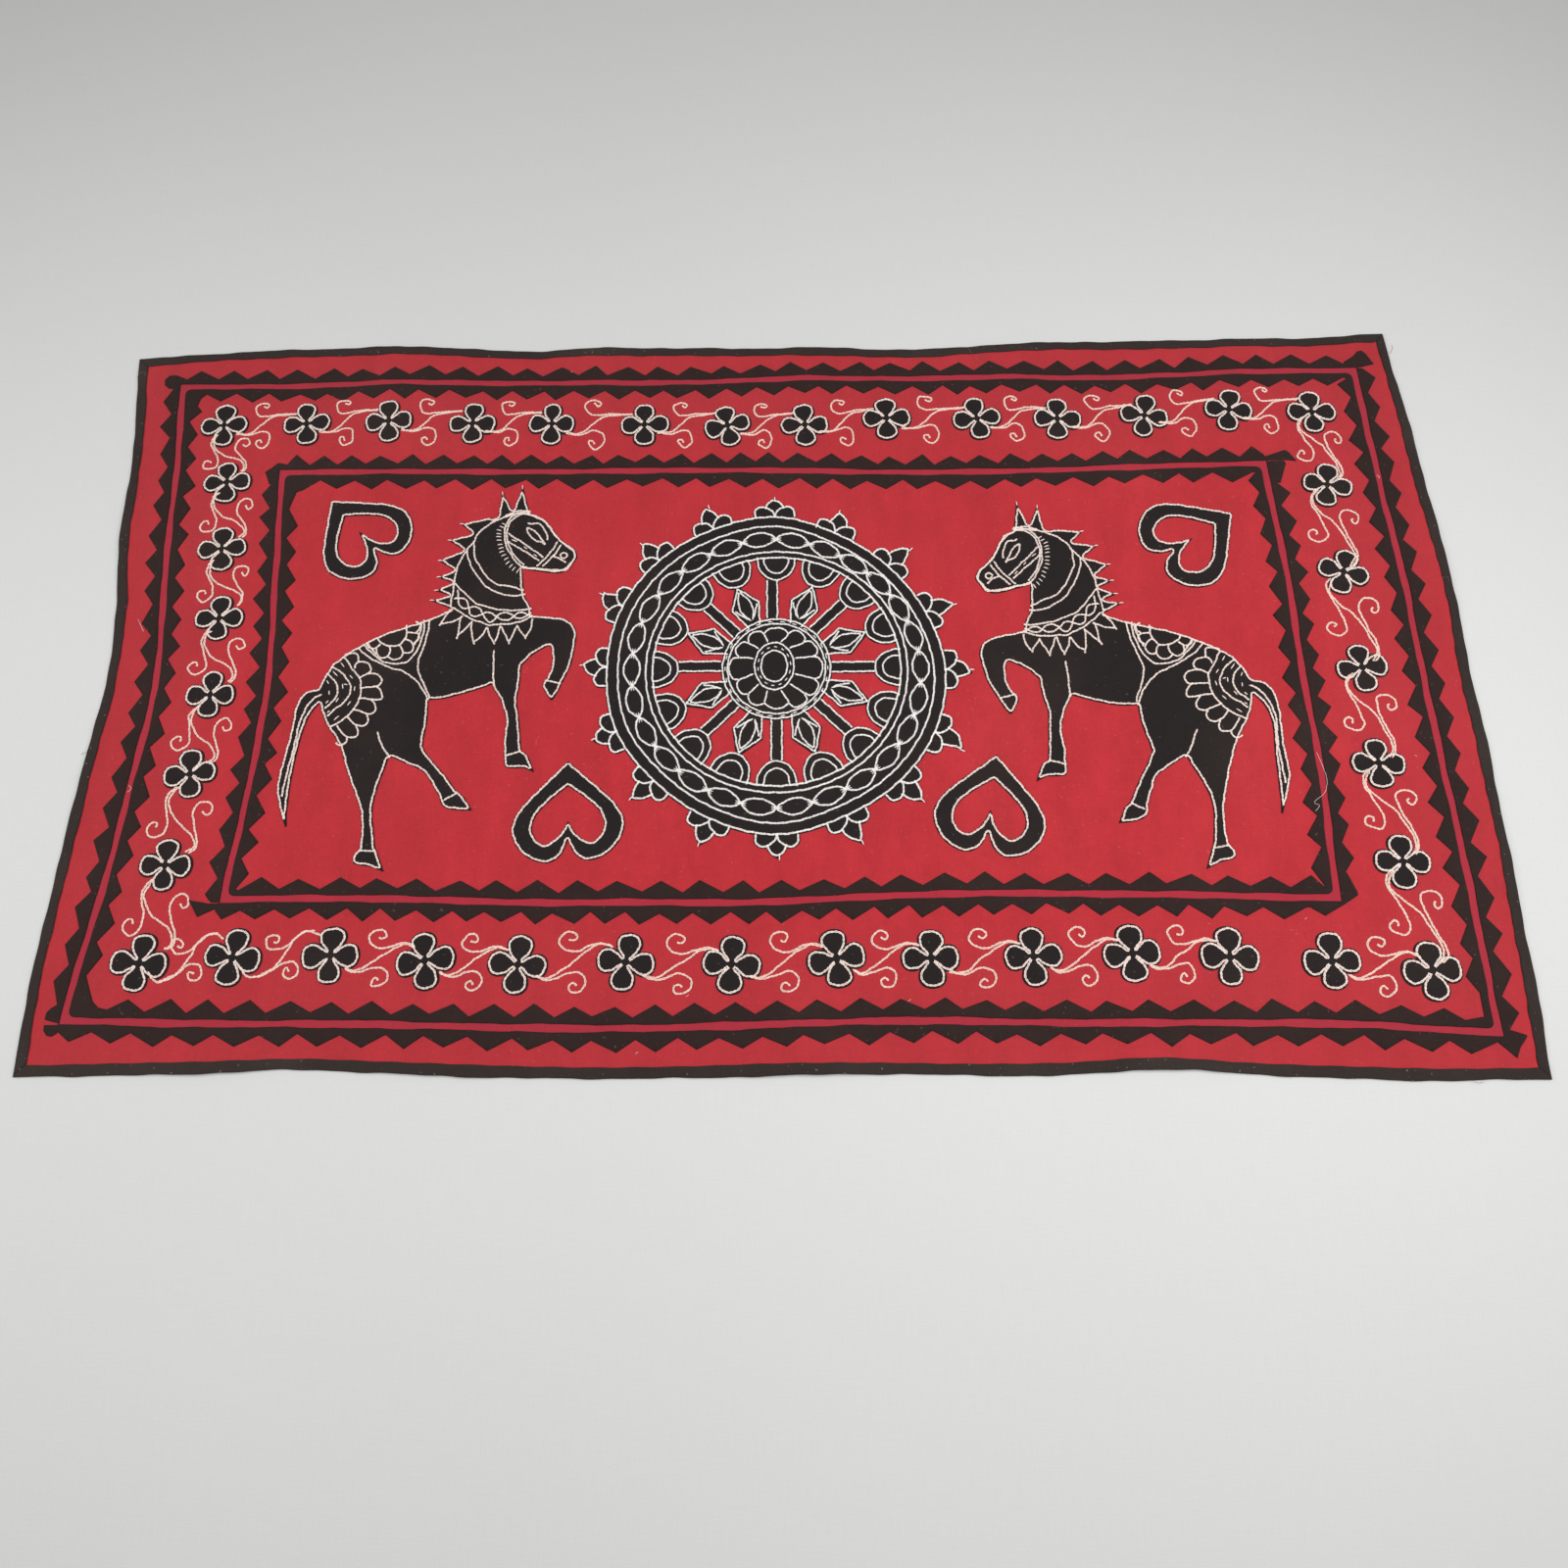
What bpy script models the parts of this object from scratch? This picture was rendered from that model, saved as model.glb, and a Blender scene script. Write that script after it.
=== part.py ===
"""An applique tapestry lying face up: a red cotton panel bound in black, with toothed black
strips, flowers, open hearts, two horses and a wheel sewn on it.

Plan sizes are in millimetres until to_metres, with +X to the right and +Y to the top edge.
Each piece is one closed solid that follows the folds of the panel under it."""

import math
import random
from collections import namedtuple

import bmesh
import bpy
import numpy as np
from mathutils import Vector
from mathutils.geometry import delaunay_2d_cdt

MM = 0.001

# Thicknesses and clearances
PANEL_THICK = 1.0
APPLIQUE_THICK = 1.0
BINDING_THICK = 1.0
LAYER_GAP = 0.3
JOINT_GAP = 0.5

# Binding and frames. Each frame is an outer and an inner strip, and the red panel shows as a line
# between their straight edges.
BINDING_SHOWS = 10.0
RIM_WIDTH = 14.0
RIM_LIFT = BINDING_THICK + LAYER_GAP
LINE_HALF = 3.6
LINE_BEND = 8.0
LINE_STEP = 62.0
VALLEY_OUT = 10.8
TOOTH_OUT = 22.5
TOOTH_SLIP = 3.0
VALLEY_SLIP = 1.2
TIP_SLIP = 1.8
SQUARE_PAST = 5.0

# The outer strip is laid in two L-shaped lengths: the side whose two ends run past the corners,
# and the side that butts against the other length
LENGTHS = {"top_left": ("top", "left"), "bottom_right": ("bottom", "right")}

# The outer strips' corners. Points: how far past the corner along the side, and how far out.
Tail = namedtuple("Tail", "side at_end points")
TAILS = {
    "outer_top": Tail("top", True, (
        (-10, 12), (2, 20), (8, 26.5), (13, 28), (17, 24), (25, 8.5), (9, 4.2), (-10, 4.2),
    )),
    "outer_top_knob": Tail("top", False, (
        (-3, 4.5), (-2, 11), (4, 14), (11, 17), (19.5, 16.5), (24, 10.5), (23, 3), (17, -2), (4.5, -3),
        (4.5, 4.5),
    )),
    "outer_left_foot": Tail("left", False, (
        (-17, 9), (-12, 16), (-8, 19), (-1, 19), (1, 12), (2.5, 4.5), (-17, 4.5),
    )),
    "outer_bottom": Tail("bottom", False, (
        (-6, 7), (13, 24.5), (18, 14), (27.5, 2.5), (10, -3), (4.5, -3), (4.5, 4.5), (-6, 4.5),
    )),
    "outer_bottom_knob": Tail("bottom", True, ((2, 4.5), (4, 13), (9, 16), (14, 15), (18, 10), (18.5, 4.5))),
    "inner_top": Tail("top", True, ((0, 9), (3, 9.5), (27, 18), (31, 14.5), (38.5, 2.8), (27, 4.2), (0, 4.2))),
    "inner_top_corner": Tail("top", False, (
        (-4, 10.5), (2.5, 12.5), (7, 13), (13, 7), (20.5, 1), (13.5, -15.5), (4.5, -15.5), (4.5, 4.5),
        (-4, 4.5),
    )),
    "inner_right_foot": Tail("right", False, (
        (3.1, 4.5), (3.1, 24), (-1, 25.5), (-7, 23), (-26, 15), (-26, 4.5),
    )),
    "inner_bottom": Tail("bottom", True, (
        (2, 9), (9, 11), (24.5, 18.5), (36, 0.8), (22, 2.8), (16, 4.2), (2, 4.2),
    )),
    "inner_bottom_corner": Tail("bottom", False, (
        (-33, 8), (-15, 19), (6, 7), (21, -2.5), (21, -6), (13, -26.5), (4.5, -26.5), (4.5, 4.5), (-33, 4.5),
    )),
    "inner_left_foot": Tail("left", False, (
        (3.1, 4.5), (3.1, 12), (1, 15), (-6, 20.5), (-23, 10), (-23, 4.5),
    )),
}
TAILS_ON = {
    "outer_strip_top_left": ("outer_top", "outer_top_knob", "outer_left_foot"),
    "outer_strip_bottom_right": ("outer_bottom", "outer_bottom_knob"),
    "inner_strip_top_left": ("inner_top", "inner_top_corner", "inner_left_foot"),
    "inner_strip_bottom_right": ("inner_bottom", "inner_bottom_corner", "inner_right_foot"),
}

# Teeth along each side of an outer strip and of an inner one, clockwise from the top: where its
# first valley, first tip, last tip and last valley lie, and how many teeth there are
Teeth = namedtuple("Teeth", "start first last end count")
OUTSIDE_TEETH = {
    "outer": {
        "top": Teeth(3, 19, 1368, 1388, 35), "right": Teeth(-2, 12, 756, 771, 20),
        "bottom": Teeth(6, 28, 1415, 1429, 34), "left": Teeth(17, 40, 735, 751, 20),
    },
    "inner": {
        "top": Teeth(4, 11, 1131, 1143, 33), "right": Teeth(26, 42, 470, 486, 14),
        "bottom": Teeth(33, 59, 1142, 1151, 31), "left": Teeth(23, 42, 482, 495, 14),
    },
}
INSIDE_TEETH = {
    "outer": {
        "top": Teeth(30, 50, 1368, 1386, 37), "right": Teeth(11, 19, 721, 735, 20),
        "bottom": Teeth(31, 51, 1363, 1383, 33), "left": Teeth(45, 65, 688, 705, 19),
    },
    "inner": {
        "top": Teeth(46, 66, 1100, 1126, 27), "right": Teeth(11, 19, 478, 498, 14),
        "bottom": Teeth(11, 23, 1110, 1130, 27), "left": Teeth(11, 25, 438, 461, 13),
    },
}

# What the inner strip's toothed edge passes at a corner before the named side: how far along that
# side, and how far in from it. At the other corners two teeth meet at a slit.
Inset = namedtuple("Inset", "along depth")
INSETS = {
    "outer": {
        "top": (Inset(28, 35), Inset(21.5, 27), Inset(24, 17)), "bottom": (Inset(12, 15),),
        "left": (Inset(13, 32), Inset(19, 25), Inset(30, 19)),
    },
    "inner": {"top": (Inset(20, 27), Inset(27, 24))},
}

# Panel mesh
STATION_STEP = 86.0
NODE_STEP = 90.0
NODE_CLEAR = 50.0
BENT_MORE_THAN = 2e-3

# Flowers
PETAL_COUNT = 4
NOTCH_SHARE = 0.3
PETAL_ROUNDNESS = 0.62
PETAL_BEARINGS = (-45, -32, -12, 12, 32)

# Triangulation: 0 keeps the whole hull, so that each triangle can be tested
KEEP_HULL = 0
MERGE_WITHIN = 1e-4

Corner = namedtuple("Corner", "x y")
Frame = namedtuple("Frame", "corners drift")
Shape = namedtuple("Shape", "ring cut")
Fold = namedtuple("Fold", "x y bearing long wide high")
Flower = namedtuple("Flower", "x y turn")
Heart = namedtuple("Heart", "tip_x tip_y bearing wide cusp")
Half = namedtuple("Half", "along aside")
Placed = namedtuple("Placed", "x y turn size mirrored slips")
Slip = namedtuple("Slip", "x y right up")
Bud = namedtuple("Bud", "bearing reach rim aside")
Level = namedtuple("Level", "y back front")
Across = namedtuple("Across", "x top belly")
Pair = namedtuple("Pair", "x1 y1 x2 y2")
Spike = namedtuple("Spike", "root_x root_y tip_x tip_y end_x end_y")

SIDES = ("top", "right", "bottom", "left")

# Corners run clockwise from the top left. Drift is how far evenly spaced stations of a side
# lie outside the straight line between its corners, clockwise too.
EDGE = Frame(
    corners=(Corner(-760, 424), Corner(738, 434), Corner(760, -433), Corner(-743, -423)),
    drift={
        "top": (6, 9, 9, 7, 0, 1, 0, -3, -5, -9, -6, -3, -4, -4, -4),
        "right": (6, 9, 12, 15, 12, 12, 10, 8, 5),
        "bottom": (1, -1, -4, -9, -4, -3, -4, -3, 0, 1, -1, -4, -7, -4, -2),
        "left": (0, -5, -12, -19, -26, -24, -15, -13, -8),
    },
)
OUTER_FRAME = Frame(
    corners=(Corner(-702, 385), Corner(698, 385), Corner(720, -389), Corner(-705, -369)),
    drift={
        "top": (-1, 1, -2, -4, -2, -2, -4, -5, -1),
        "right": (1, 3, 3, 2, 2),
        "bottom": (-7, -7, -6, -7, -2, 3, 3, 1, 2),
        "left": (-14, -26, -31, -20, -12),
    },
)
INNER_FRAME = Frame(
    corners=(Corner(-566, 264), Corner(575, 259), Corner(583, -253), Corner(-561, -246)),
    drift={
        "top": (0, -2, -2, -3, -7, -7, -3),
        "right": (5, 4, 5),
        "bottom": (-3, -5, -4, 3, 4, 3, -1),
        "left": (-11, -16, -8),
    },
)

# Low ridges in which the panel lies off the floor: middle, bearing in degrees, half length,
# half width and height
FOLDS = (
    Fold(-440, 395, 80, 150, 95, 3.0),
    Fold(-205, 400, 95, 120, 90, 2.2),
    Fold(40, 385, 88, 140, 100, 2.6),
    Fold(290, 400, 100, 130, 95, 3.2),
    Fold(560, 400, 80, 120, 100, 2.2),
    Fold(-560, -400, 70, 130, 100, 2.4),
    Fold(-330, -395, 95, 120, 95, 2.0),
    Fold(40, -400, 88, 150, 105, 2.8),
    Fold(400, -390, 75, 160, 95, 3.0),
    Fold(-700, 190, 10, 130, 95, 2.8),
    Fold(-695, -120, -8, 130, 100, 2.4),
    Fold(720, 120, 8, 130, 100, 2.6),
    Fold(725, -200, -12, 130, 95, 2.2),
    Fold(430, -130, 62, 170, 90, 1.8),
    Fold(-150, -190, 118, 150, 90, 1.4),
    Fold(-560, 60, 92, 150, 90, 1.4),
)

FLOWER_REACH = {"top": 28.5, "bottom": 30.0, "left": 28.0, "right": 28.5}
FLOWERS = {
    "top": (
        Flower(-644, 329, 3), Flower(-545, 330, 7), Flower(-447, 331, 6),
        Flower(-347, 327, 0), Flower(-253, 325, 0), Flower(-143, 322, 2),
        Flower(-45, 319, 13), Flower(46, 318, 4), Flower(142, 326, 2),
        Flower(248, 324, 8), Flower(342, 322, -3), Flower(444, 325, -11),
        Flower(543, 331, -9), Flower(639, 327, 0),
    ),
    "right": (
        Flower(643, 229, -10), Flower(644, 117, -19), Flower(647, 1, 6),
        Flower(647, -109, 0), Flower(654, -216, -3),
    ),
    "bottom": (
        Flower(-637, -312, -6), Flower(-542, -307, -8), Flower(-442, -305, 0),
        Flower(-345, -311, 8), Flower(-250, -316, -5), Flower(-141, -314, -7),
        Flower(-34, -317, -5), Flower(72, -312, 10), Flower(167, -312, 2),
        Flower(270, -311, 4), Flower(369, -309, 4), Flower(466, -313, -4),
        Flower(567, -318, 2), Flower(665, -328, 3),
    ),
    "left": (
        Flower(-629, 251, 4), Flower(-622, 163, 4), Flower(-612, 75, 0),
        Flower(-608, -17, 0), Flower(-616, -109, 8), Flower(-627, -209, -1),
    ),
}

# Half of an open heart, from its tip along its axis: distance from the tip, and aside. The
# hole's half ends before its cusp, which each heart has at its own distance.
HEART_HALF = (
    Half(0, 0), Half(16, 16), Half(34, 34), Half(52, 50), Half(72, 58), Half(92, 52), Half(106, 38),
    Half(111, 20), Half(103, 7), Half(87, 0),
)
HEART_HOLE_HALF = (
    Half(28, 0), Half(40, 15), Half(56, 31), Half(72, 37), Half(86, 32), Half(91, 22), Half(82, 9),
)
HEARTS = {
    "upper_left": Heart(-504, 225, -48, 0.97, 55),
    "upper_right": Heart(531, 194, -147, 1.0, 58),
    "lower_left": Heart(-211, -98, -87, 1.03, 67),
    "lower_right": Heart(246, -95, -99, 1.02, 62),
}

# Wheel, in radii from its middle. Each bud has its bearing and reach, the rim's radius there, and
# how far the spoke inside it lies to the left.
WHEEL_CENTRE = (12, 7.5)
RIM_INSIDE = 134.0
HUB_RADIUS = 61.0
BAR_HALF = 7.2
LOBE_HALF = 23.0
LOBE_REACH = 106.0
LEAF_BASE_HALF = 8.0
LEAF_SHOULDER_HALF = 18.0
LEAF_SHOULDER_AT = 82.0
LEAF_TIP_AT = 110.0
LEAF_TIP_HALF = 1.5
RIM_OVERLAP = 14.0
BUD_HALF = 24.0
BUD_SIDE_PAST = 3.0
BUD_SCALLOP_PAST = 12.0
BUD_SCALLOP_HALF = 17.0
BUD_SHOULDER_HALF = 12.0
BUD_LEAN = 0.5
BUDS = (
    Bud(91, 213, 190, 4.6), Bud(69, 208, 181, 0), Bud(44, 211, 178, 2.4), Bud(21, 213, 180, 1),
    Bud(-2, 214, 186, 0.7), Bud(-26, 222, 188, 0.5), Bud(-45, 218, 187, 2), Bud(-66, 218, 186, 1),
    Bud(-90, 215, 191, 0), Bud(-112, 216, 187, 0), Bud(-136, 215, 185, -2.5), Bud(-157, 214, 189, 0),
    Bud(-182, 215, 188, -3), Bud(-206, 218, 190, -2), Bud(-226, 219, 190, 1.5), Bud(-248, 218, 189, 3),
)
RIM_STEPS = 64
HUB_STEPS = 24
LOBE_STEPS = 6

# One horse facing right, from the middle of its length and height. The other is the same
# pattern turned over. Slips are where its cutting strays from the pattern: place on the panel,
# and how far it strays there, which fades over SLIP_FADE.
SLIP_FADE = 42.0
SLIP_HOLD = 0.12
HORSES = {
    "left": Placed(-365, 10, 0.0, 1.0, False, ()),
    "right": Placed(394, -3, 6.0, 0.985, True, (
        Slip(240, 132, 6, -1), Slip(232, 118, 4, -3), Slip(250, 99, 0, -4), Slip(289, 214, -2, -6),
        Slip(312, 208, -2, -1), Slip(374, 67, 0, 1), Slip(299, -9, 0, 0), Slip(367, -33, 0, -3),
        Slip(408, -92, 2, -2), Slip(508, -57, 12, 0), Slip(527, -12, 8, -1), Slip(558, -107, -6, 0),
        Slip(551, -163, -14, 0), Slip(467, -163, 9, 0), Slip(463, -217, 5, 1), Slip(387, -133, 8, -3),
        Slip(370, -162, 16, -8), Slip(313, -73, 1, 2), Slip(305, -127, -6, 9), Slip(267, -40, -7, 7),
        Slip(258, -7, -4, 2),
    )),
}
TRUNK = (
    Across(-124, -18, -24), Across(-117, 0, -36), Across(-105, 15, -44), Across(-85, 30, -46),
    Across(-60, 44, -44), Across(-35, 53, -40), Across(-10, 62, -36), Across(15, 73, -34),
    Across(40, 70, -27), Across(65, 65, -18), Across(85, 65, -8), Across(103, 65, 12),
)
HAUNCH = (
    Level(10, -112, -6), Level(-20, -124, -5), Level(-36, -122, -3), Level(-60, -113, -2),
    Level(-80, -99, -4), Level(-92, -92, -7), Level(-102, -89, -38),
)
HIND_LEG = (
    Level(-92, -92, -30), Level(-101, -88, -39), Level(-112, -85, -42), Level(-135, -75, -48),
    Level(-160, -64, -51), Level(-185, -60, -47), Level(-205, -60, -43),
)
HIND_HOOF = (
    Pair(-60, -203, -43, -203), Pair(-65, -210, -38, -214), Pair(-64, -219, -35, -221),
    Pair(-48, -222, -32, -228),
)
STEPPING_LEG = (
    Pair(-39, -100, -6, -88), Pair(-20, -109, 5, -103), Pair(-1, -118, 17, -116),
    Pair(9, -131, 27, -128), Pair(20, -148, 37, -141),
)
STEPPING_HOOF = (
    Pair(19, -146, 36, -140), Pair(22, -155, 44, -146), Pair(29, -160, 49, -153),
    Pair(43, -162, 55, -162),
)
FORE_LEG = (
    Level(14, 64, 96), Level(-18, 66, 96), Level(-36, 76, 94), Level(-60, 84, 98),
    Level(-82, 83, 101), Level(-99, 85, 103),
)
FORE_HOOF = (
    Pair(84, -97, 103, -96), Pair(86, -111, 108, -99), Pair(91, -115, 113, -107),
    Pair(107, -115, 118, -120),
)
RAISED_LEG = (
    Pair(90, 4, 100, 65), Pair(104, 14, 133, 62), Pair(118, 24, 148, 56), Pair(127, 27, 155, 43),
    Pair(130, 12, 154, 25), Pair(129, -2, 151, 5), Pair(124, -14, 143, -16),
)
RAISED_HOOF = (
    Pair(124, -12, 140, -12), Pair(121, -20, 142, -17), Pair(125, -28, 138, -28),
    Pair(131, -37, 133, -37),
)
NECK = (
    Level(60, 13, 103), Level(75, 13, 102), Level(90, 14, 94), Level(110, 15, 91), Level(124, 17, 89),
    Level(148, 25, 84), Level(168, 34, 80), Level(183, 46, 80), Level(191, 58, 80),
)
HEAD = (
    Pair(60, 190, 62, 160), Pair(80, 196, 67, 147), Pair(97, 193, 74, 136),
    Pair(113, 184, 90, 124), Pair(125, 168, 110, 120), Pair(136, 156, 122, 118),
    Pair(146, 149, 133, 118), Pair(151, 140, 141, 122), Pair(150, 135, 146, 129),
)
EARS = (Spike(57, 188, 60, 223, 76, 194), Spike(73, 194, 83, 231, 94, 192))
EAR_ROOT = (0, -12)
MANE = (
    Spike(50, 190, 15, 182, 34, 166), Spike(34, 170, 3, 161, 25, 146), Spike(26, 150, -6, 135, 17, 120),
    Spike(17, 124, -6, 114, 15, 106), Spike(16, 108, -7, 97, 14, 90), Spike(15, 92, -11, 85, 14, 74),
)
TAIL = (
    Pair(-120, -20, -120, -36), Pair(-139, -26, -130, -50), Pair(-147, -42, -136, -70),
    Pair(-149, -72, -140, -100), Pair(-154, -108, -142, -130), Pair(-156, -135, -142, -152),
    Pair(-150, -158, -142, -164), Pair(-142, -178, -140, -178),
)
MANE_ROOT = (12, 0)
CURVE_STEPS = 2
BEND_STEPS = 3

Finish = namedtuple("Finish", "colour roughness")
FINISHES = {
    "red_cotton": Finish((0.53, 0.038, 0.048), 0.85),
    "black_cotton": Finish((0.030, 0.024, 0.023), 0.88),
    "binding_cotton": Finish((0.045, 0.040, 0.036), 0.85),
}


def curve_between(a, b, c, d, t):
    """The Catmull-Rom curve from b to c, with a before them and d after."""
    square, cube = (2 * a - 5 * b + 4 * c - d) * t**2, (3 * b - a - 3 * c + d) * t**3
    return 0.5 * (2 * b + (c - a) * t + square + cube)


def smooth(points):
    """A smooth line through the points, with even steps between each two."""
    places = [Vector(p) for p in points]
    ends = [places[0], *places, places[-1]]
    curve = []
    for a, b, c, d in zip(ends, ends[1:], ends[2:], ends[3:]):
        curve += [curve_between(a, b, c, d, step / CURVE_STEPS) for step in range(CURVE_STEPS)]
    return [*curve, places[-1]]


def polar(radius, degrees):
    """The point at a radius and a bearing, counter-clockwise from +X."""
    angle = math.radians(degrees)
    return Vector((radius * math.cos(angle), radius * math.sin(angle)))


def turned(point, degrees):
    """The point turned counter-clockwise about the origin."""
    angle = math.radians(degrees)
    right, up = math.cos(angle), math.sin(angle)
    return Vector((point[0] * right - point[1] * up, point[0] * up + point[1] * right))


class Side:
    """One side of a frame: a smooth line between two corners with its drift."""

    def __init__(self, frame, name):
        index = SIDES.index(name)
        self.start = Vector(frame.corners[index])
        self.end = Vector(frame.corners[(index + 1) % len(SIDES)])
        self.length = (self.end - self.start).length
        self.along = (self.end - self.start) / self.length
        self.outward = Vector((-self.along.y, self.along.x))
        self.drift = (0, *frame.drift[name], 0)

    def drift_at(self, share):
        """The drift at a share of the side's length."""
        spans = len(self.drift) - 1
        place = min(max(share, 0.0), 1.0) * spans
        first = min(int(place), spans - 1)
        near = (self.drift[min(max(first + k, 0), spans)] for k in (-1, 0, 1, 2))
        return curve_between(*near, place - first)

    def at(self, distance, out=0.0):
        """The point this far along the side, and out from it."""
        aside = self.drift_at(distance / self.length) + out
        return self.start + self.along * distance + self.outward * aside


def fold_lift(x, y):
    """How far the folds hold the panel off the floor at a point."""
    lift = 0.0
    for fold in FOLDS:
        along, across = turned((x - fold.x, y - fold.y), -fold.bearing)
        if abs(along) < fold.long and abs(across) < fold.wide:
            swell = math.cos(math.pi / 2 * along / fold.long)
            swell *= math.cos(math.pi / 2 * across / fold.wide)
            lift += fold.high * swell**2
    return lift


def edge_stations():
    """Stations round the panel's edge, clockwise: point, and the way in to the rim line."""
    sides = [Side(EDGE, name) for name in SIDES]
    stations = []
    for index, side in enumerate(sides):
        before = sides[index - 1]
        count = round(side.length / STATION_STEP)
        mitre = -(before.outward + side.outward) / (1 + before.outward.dot(side.outward))
        stations.append((side.at(0), mitre))
        for step in range(1, count):
            stations.append((side.at(side.length * step / count), -side.outward))
    return stations


class Panel:
    """The ground panel's facets. Every applique is cut along them, so it lies on them evenly."""

    def __init__(self):
        self.stations = edge_stations()
        self.edge = [point for point, _ in self.stations]
        rim = [point + way * RIM_WIDTH for point, way in self.stations]
        nodes = self.inner_nodes()
        rim_lines = [(i, len(self.edge) + i) for i in range(len(self.edge))]
        ring = [(len(rim) + i, len(rim) + (i + 1) % len(rim)) for i in range(len(rim))]
        points = [*self.edge, *rim, *nodes]
        whole = list(reversed(range(len(self.edge))))
        corners, lines, faces, _, _, sources = delaunay_2d_cdt(
            points, rim_lines + ring, [whole], KEEP_HULL, MERGE_WITHIN
        )
        self.corners = np.array([tuple(p) for p in corners])
        self.faces = [tuple(f) for f, found in zip(faces, sources) if found]
        rim_count = len(self.edge) + len(rim)
        self.lifts = np.array([self.node_lift(i, rim_count) for i in range(len(self.corners))])
        self.creases = self.bent_lines()

    def inner_nodes(self):
        """Even nodes that keep clear of the edge."""
        xs = [p.x for p in self.edge]
        ys = [p.y for p in self.edge]
        columns = round((max(xs) - min(xs)) / NODE_STEP)
        rows = round((max(ys) - min(ys)) / NODE_STEP)
        nodes = []
        for row in range(1, rows):
            for column in range(1, columns):
                x = min(xs) + (max(xs) - min(xs)) * column / columns
                y = min(ys) + (max(ys) - min(ys)) * row / rows
                node = Vector((x, y))
                if self.depth(node) > NODE_CLEAR:
                    nodes.append(node)
        return nodes

    def depth(self, node):
        """How far inside the edge a node lies."""
        depths = []
        for i, start in enumerate(self.edge):
            end = self.edge[(i + 1) % len(self.edge)]
            run = (end - start).normalized()
            depths.append((run.y * (node - start).x - run.x * (node - start).y, (node - start).length))
        near = min(range(len(depths)), key=lambda i: depths[i][1])
        return min(depths[near][0], depths[near - 1][0])

    def node_lift(self, index, rim_count):
        x, y = self.corners[index]
        return fold_lift(x, y) + (RIM_LIFT if index < rim_count else 0.0)

    def heights(self, points):
        """The panel's underside at each point, read from the facet that holds it."""
        places = np.array([tuple(p) for p in points])
        heights = np.zeros(len(places))
        best = np.full(len(places), -np.inf)
        for face in self.faces:
            a, b, c = (self.corners[i] for i in face)
            basis = np.linalg.inv(np.array([b - a, c - a]).T)
            shares = (places - a) @ basis.T
            first = 1 - shares.sum(axis=1)
            inside = np.minimum(first, shares.min(axis=1))
            better = inside > best
            lifts = [self.lifts[i] for i in face]
            read = first * lifts[0] + shares[:, 0] * lifts[1] + shares[:, 1] * lifts[2]
            heights[better] = read[better]
            best[better] = inside[better]
        return heights

    def bent_lines(self):
        """The lines along which two facets meet at an angle."""
        slopes = {}
        for face in self.faces:
            a, b, c = (self.corners[i] for i in face)
            first, *others = (self.lifts[i] for i in face)
            slope = np.linalg.solve(np.array([b - a, c - a]), np.array(others) - first)
            for line in zip(face, face[1:] + face[:1]):
                slopes.setdefault(tuple(sorted(line)), []).append(slope)
        return [
            line for line, found in slopes.items()
            if len(found) == 2 and np.linalg.norm(found[0] - found[1]) > BENT_MORE_THAN
        ]

    def creases_near(self, low, high):
        """The bent lines that may cross a box."""
        near = []
        for i, j in self.creases:
            a, b = self.corners[i], self.corners[j]
            if np.all(np.minimum(a, b) < high) and np.all(np.maximum(a, b) > low):
                near.append((Vector(a), Vector(b)))
        return near


def counter_clockwise(ring):
    """The ring in counter-clockwise order, in which the triangulation reads its inside."""
    twice_area = sum(a[0] * b[1] - a[1] * b[0] for a, b in zip(ring, [*ring[1:], ring[0]]))
    return [Vector(p) for p in (ring if twice_area > 0 else reversed(ring))]


def fill(shapes, guides=()):
    """Triangles of a plan built up from ordered shapes, each of which adds to it or cuts it."""
    points, rings, lines = [], [], []
    for shape in shapes:
        rings.append(list(range(len(points), len(points) + len(shape.ring))))
        points.extend(counter_clockwise(shape.ring))
    for start, end in guides:
        lines.append((len(points), len(points) + 1))
        points.extend((start, end))
    corners, _, faces, _, _, sources = delaunay_2d_cdt(points, lines, rings, KEEP_HULL, MERGE_WITHIN)
    kept = [tuple(f) for f, found in zip(faces, sources) if found and not shapes[max(found)].cut]
    return [Vector(c) for c in corners], kept


def boundary(faces):
    """Edges that only one triangle has, in that triangle's order."""
    edges = [edge for f in faces for edge in zip(f, f[1:] + f[:1])]
    known = set(edges)
    return [(a, b) for a, b in edges if (b, a) not in known]


def outline(shapes):
    """The same plan as its outline and its openings alone."""
    corners, faces = fill(shapes)
    following = dict(boundary(faces))
    rings = []
    while following:
        start, place = following.popitem()
        ring = [corners[start]]
        while place != start:
            ring.append(corners[place])
            place = following.pop(place)
        area = sum(a.cross(b) for a, b in zip(ring, [*ring[1:], ring[0]]))
        rings.append(Shape(ring, area < 0))
    return sorted(rings, key=lambda found: found.cut)


def material(finish_name):
    found = bpy.data.materials.get(finish_name)
    if found:
        return found
    finish = FINISHES[finish_name]
    made = bpy.data.materials.new(finish_name)
    made.use_nodes = True
    shader = made.node_tree.nodes["Principled BSDF"]
    shader.inputs["Base Color"].default_value = (*finish.colour, 1.0)
    shader.inputs["Roughness"].default_value = finish.roughness
    shader.inputs["Metallic"].default_value = 0.0
    made.diffuse_color = (*finish.colour, 1.0)
    return made


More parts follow.
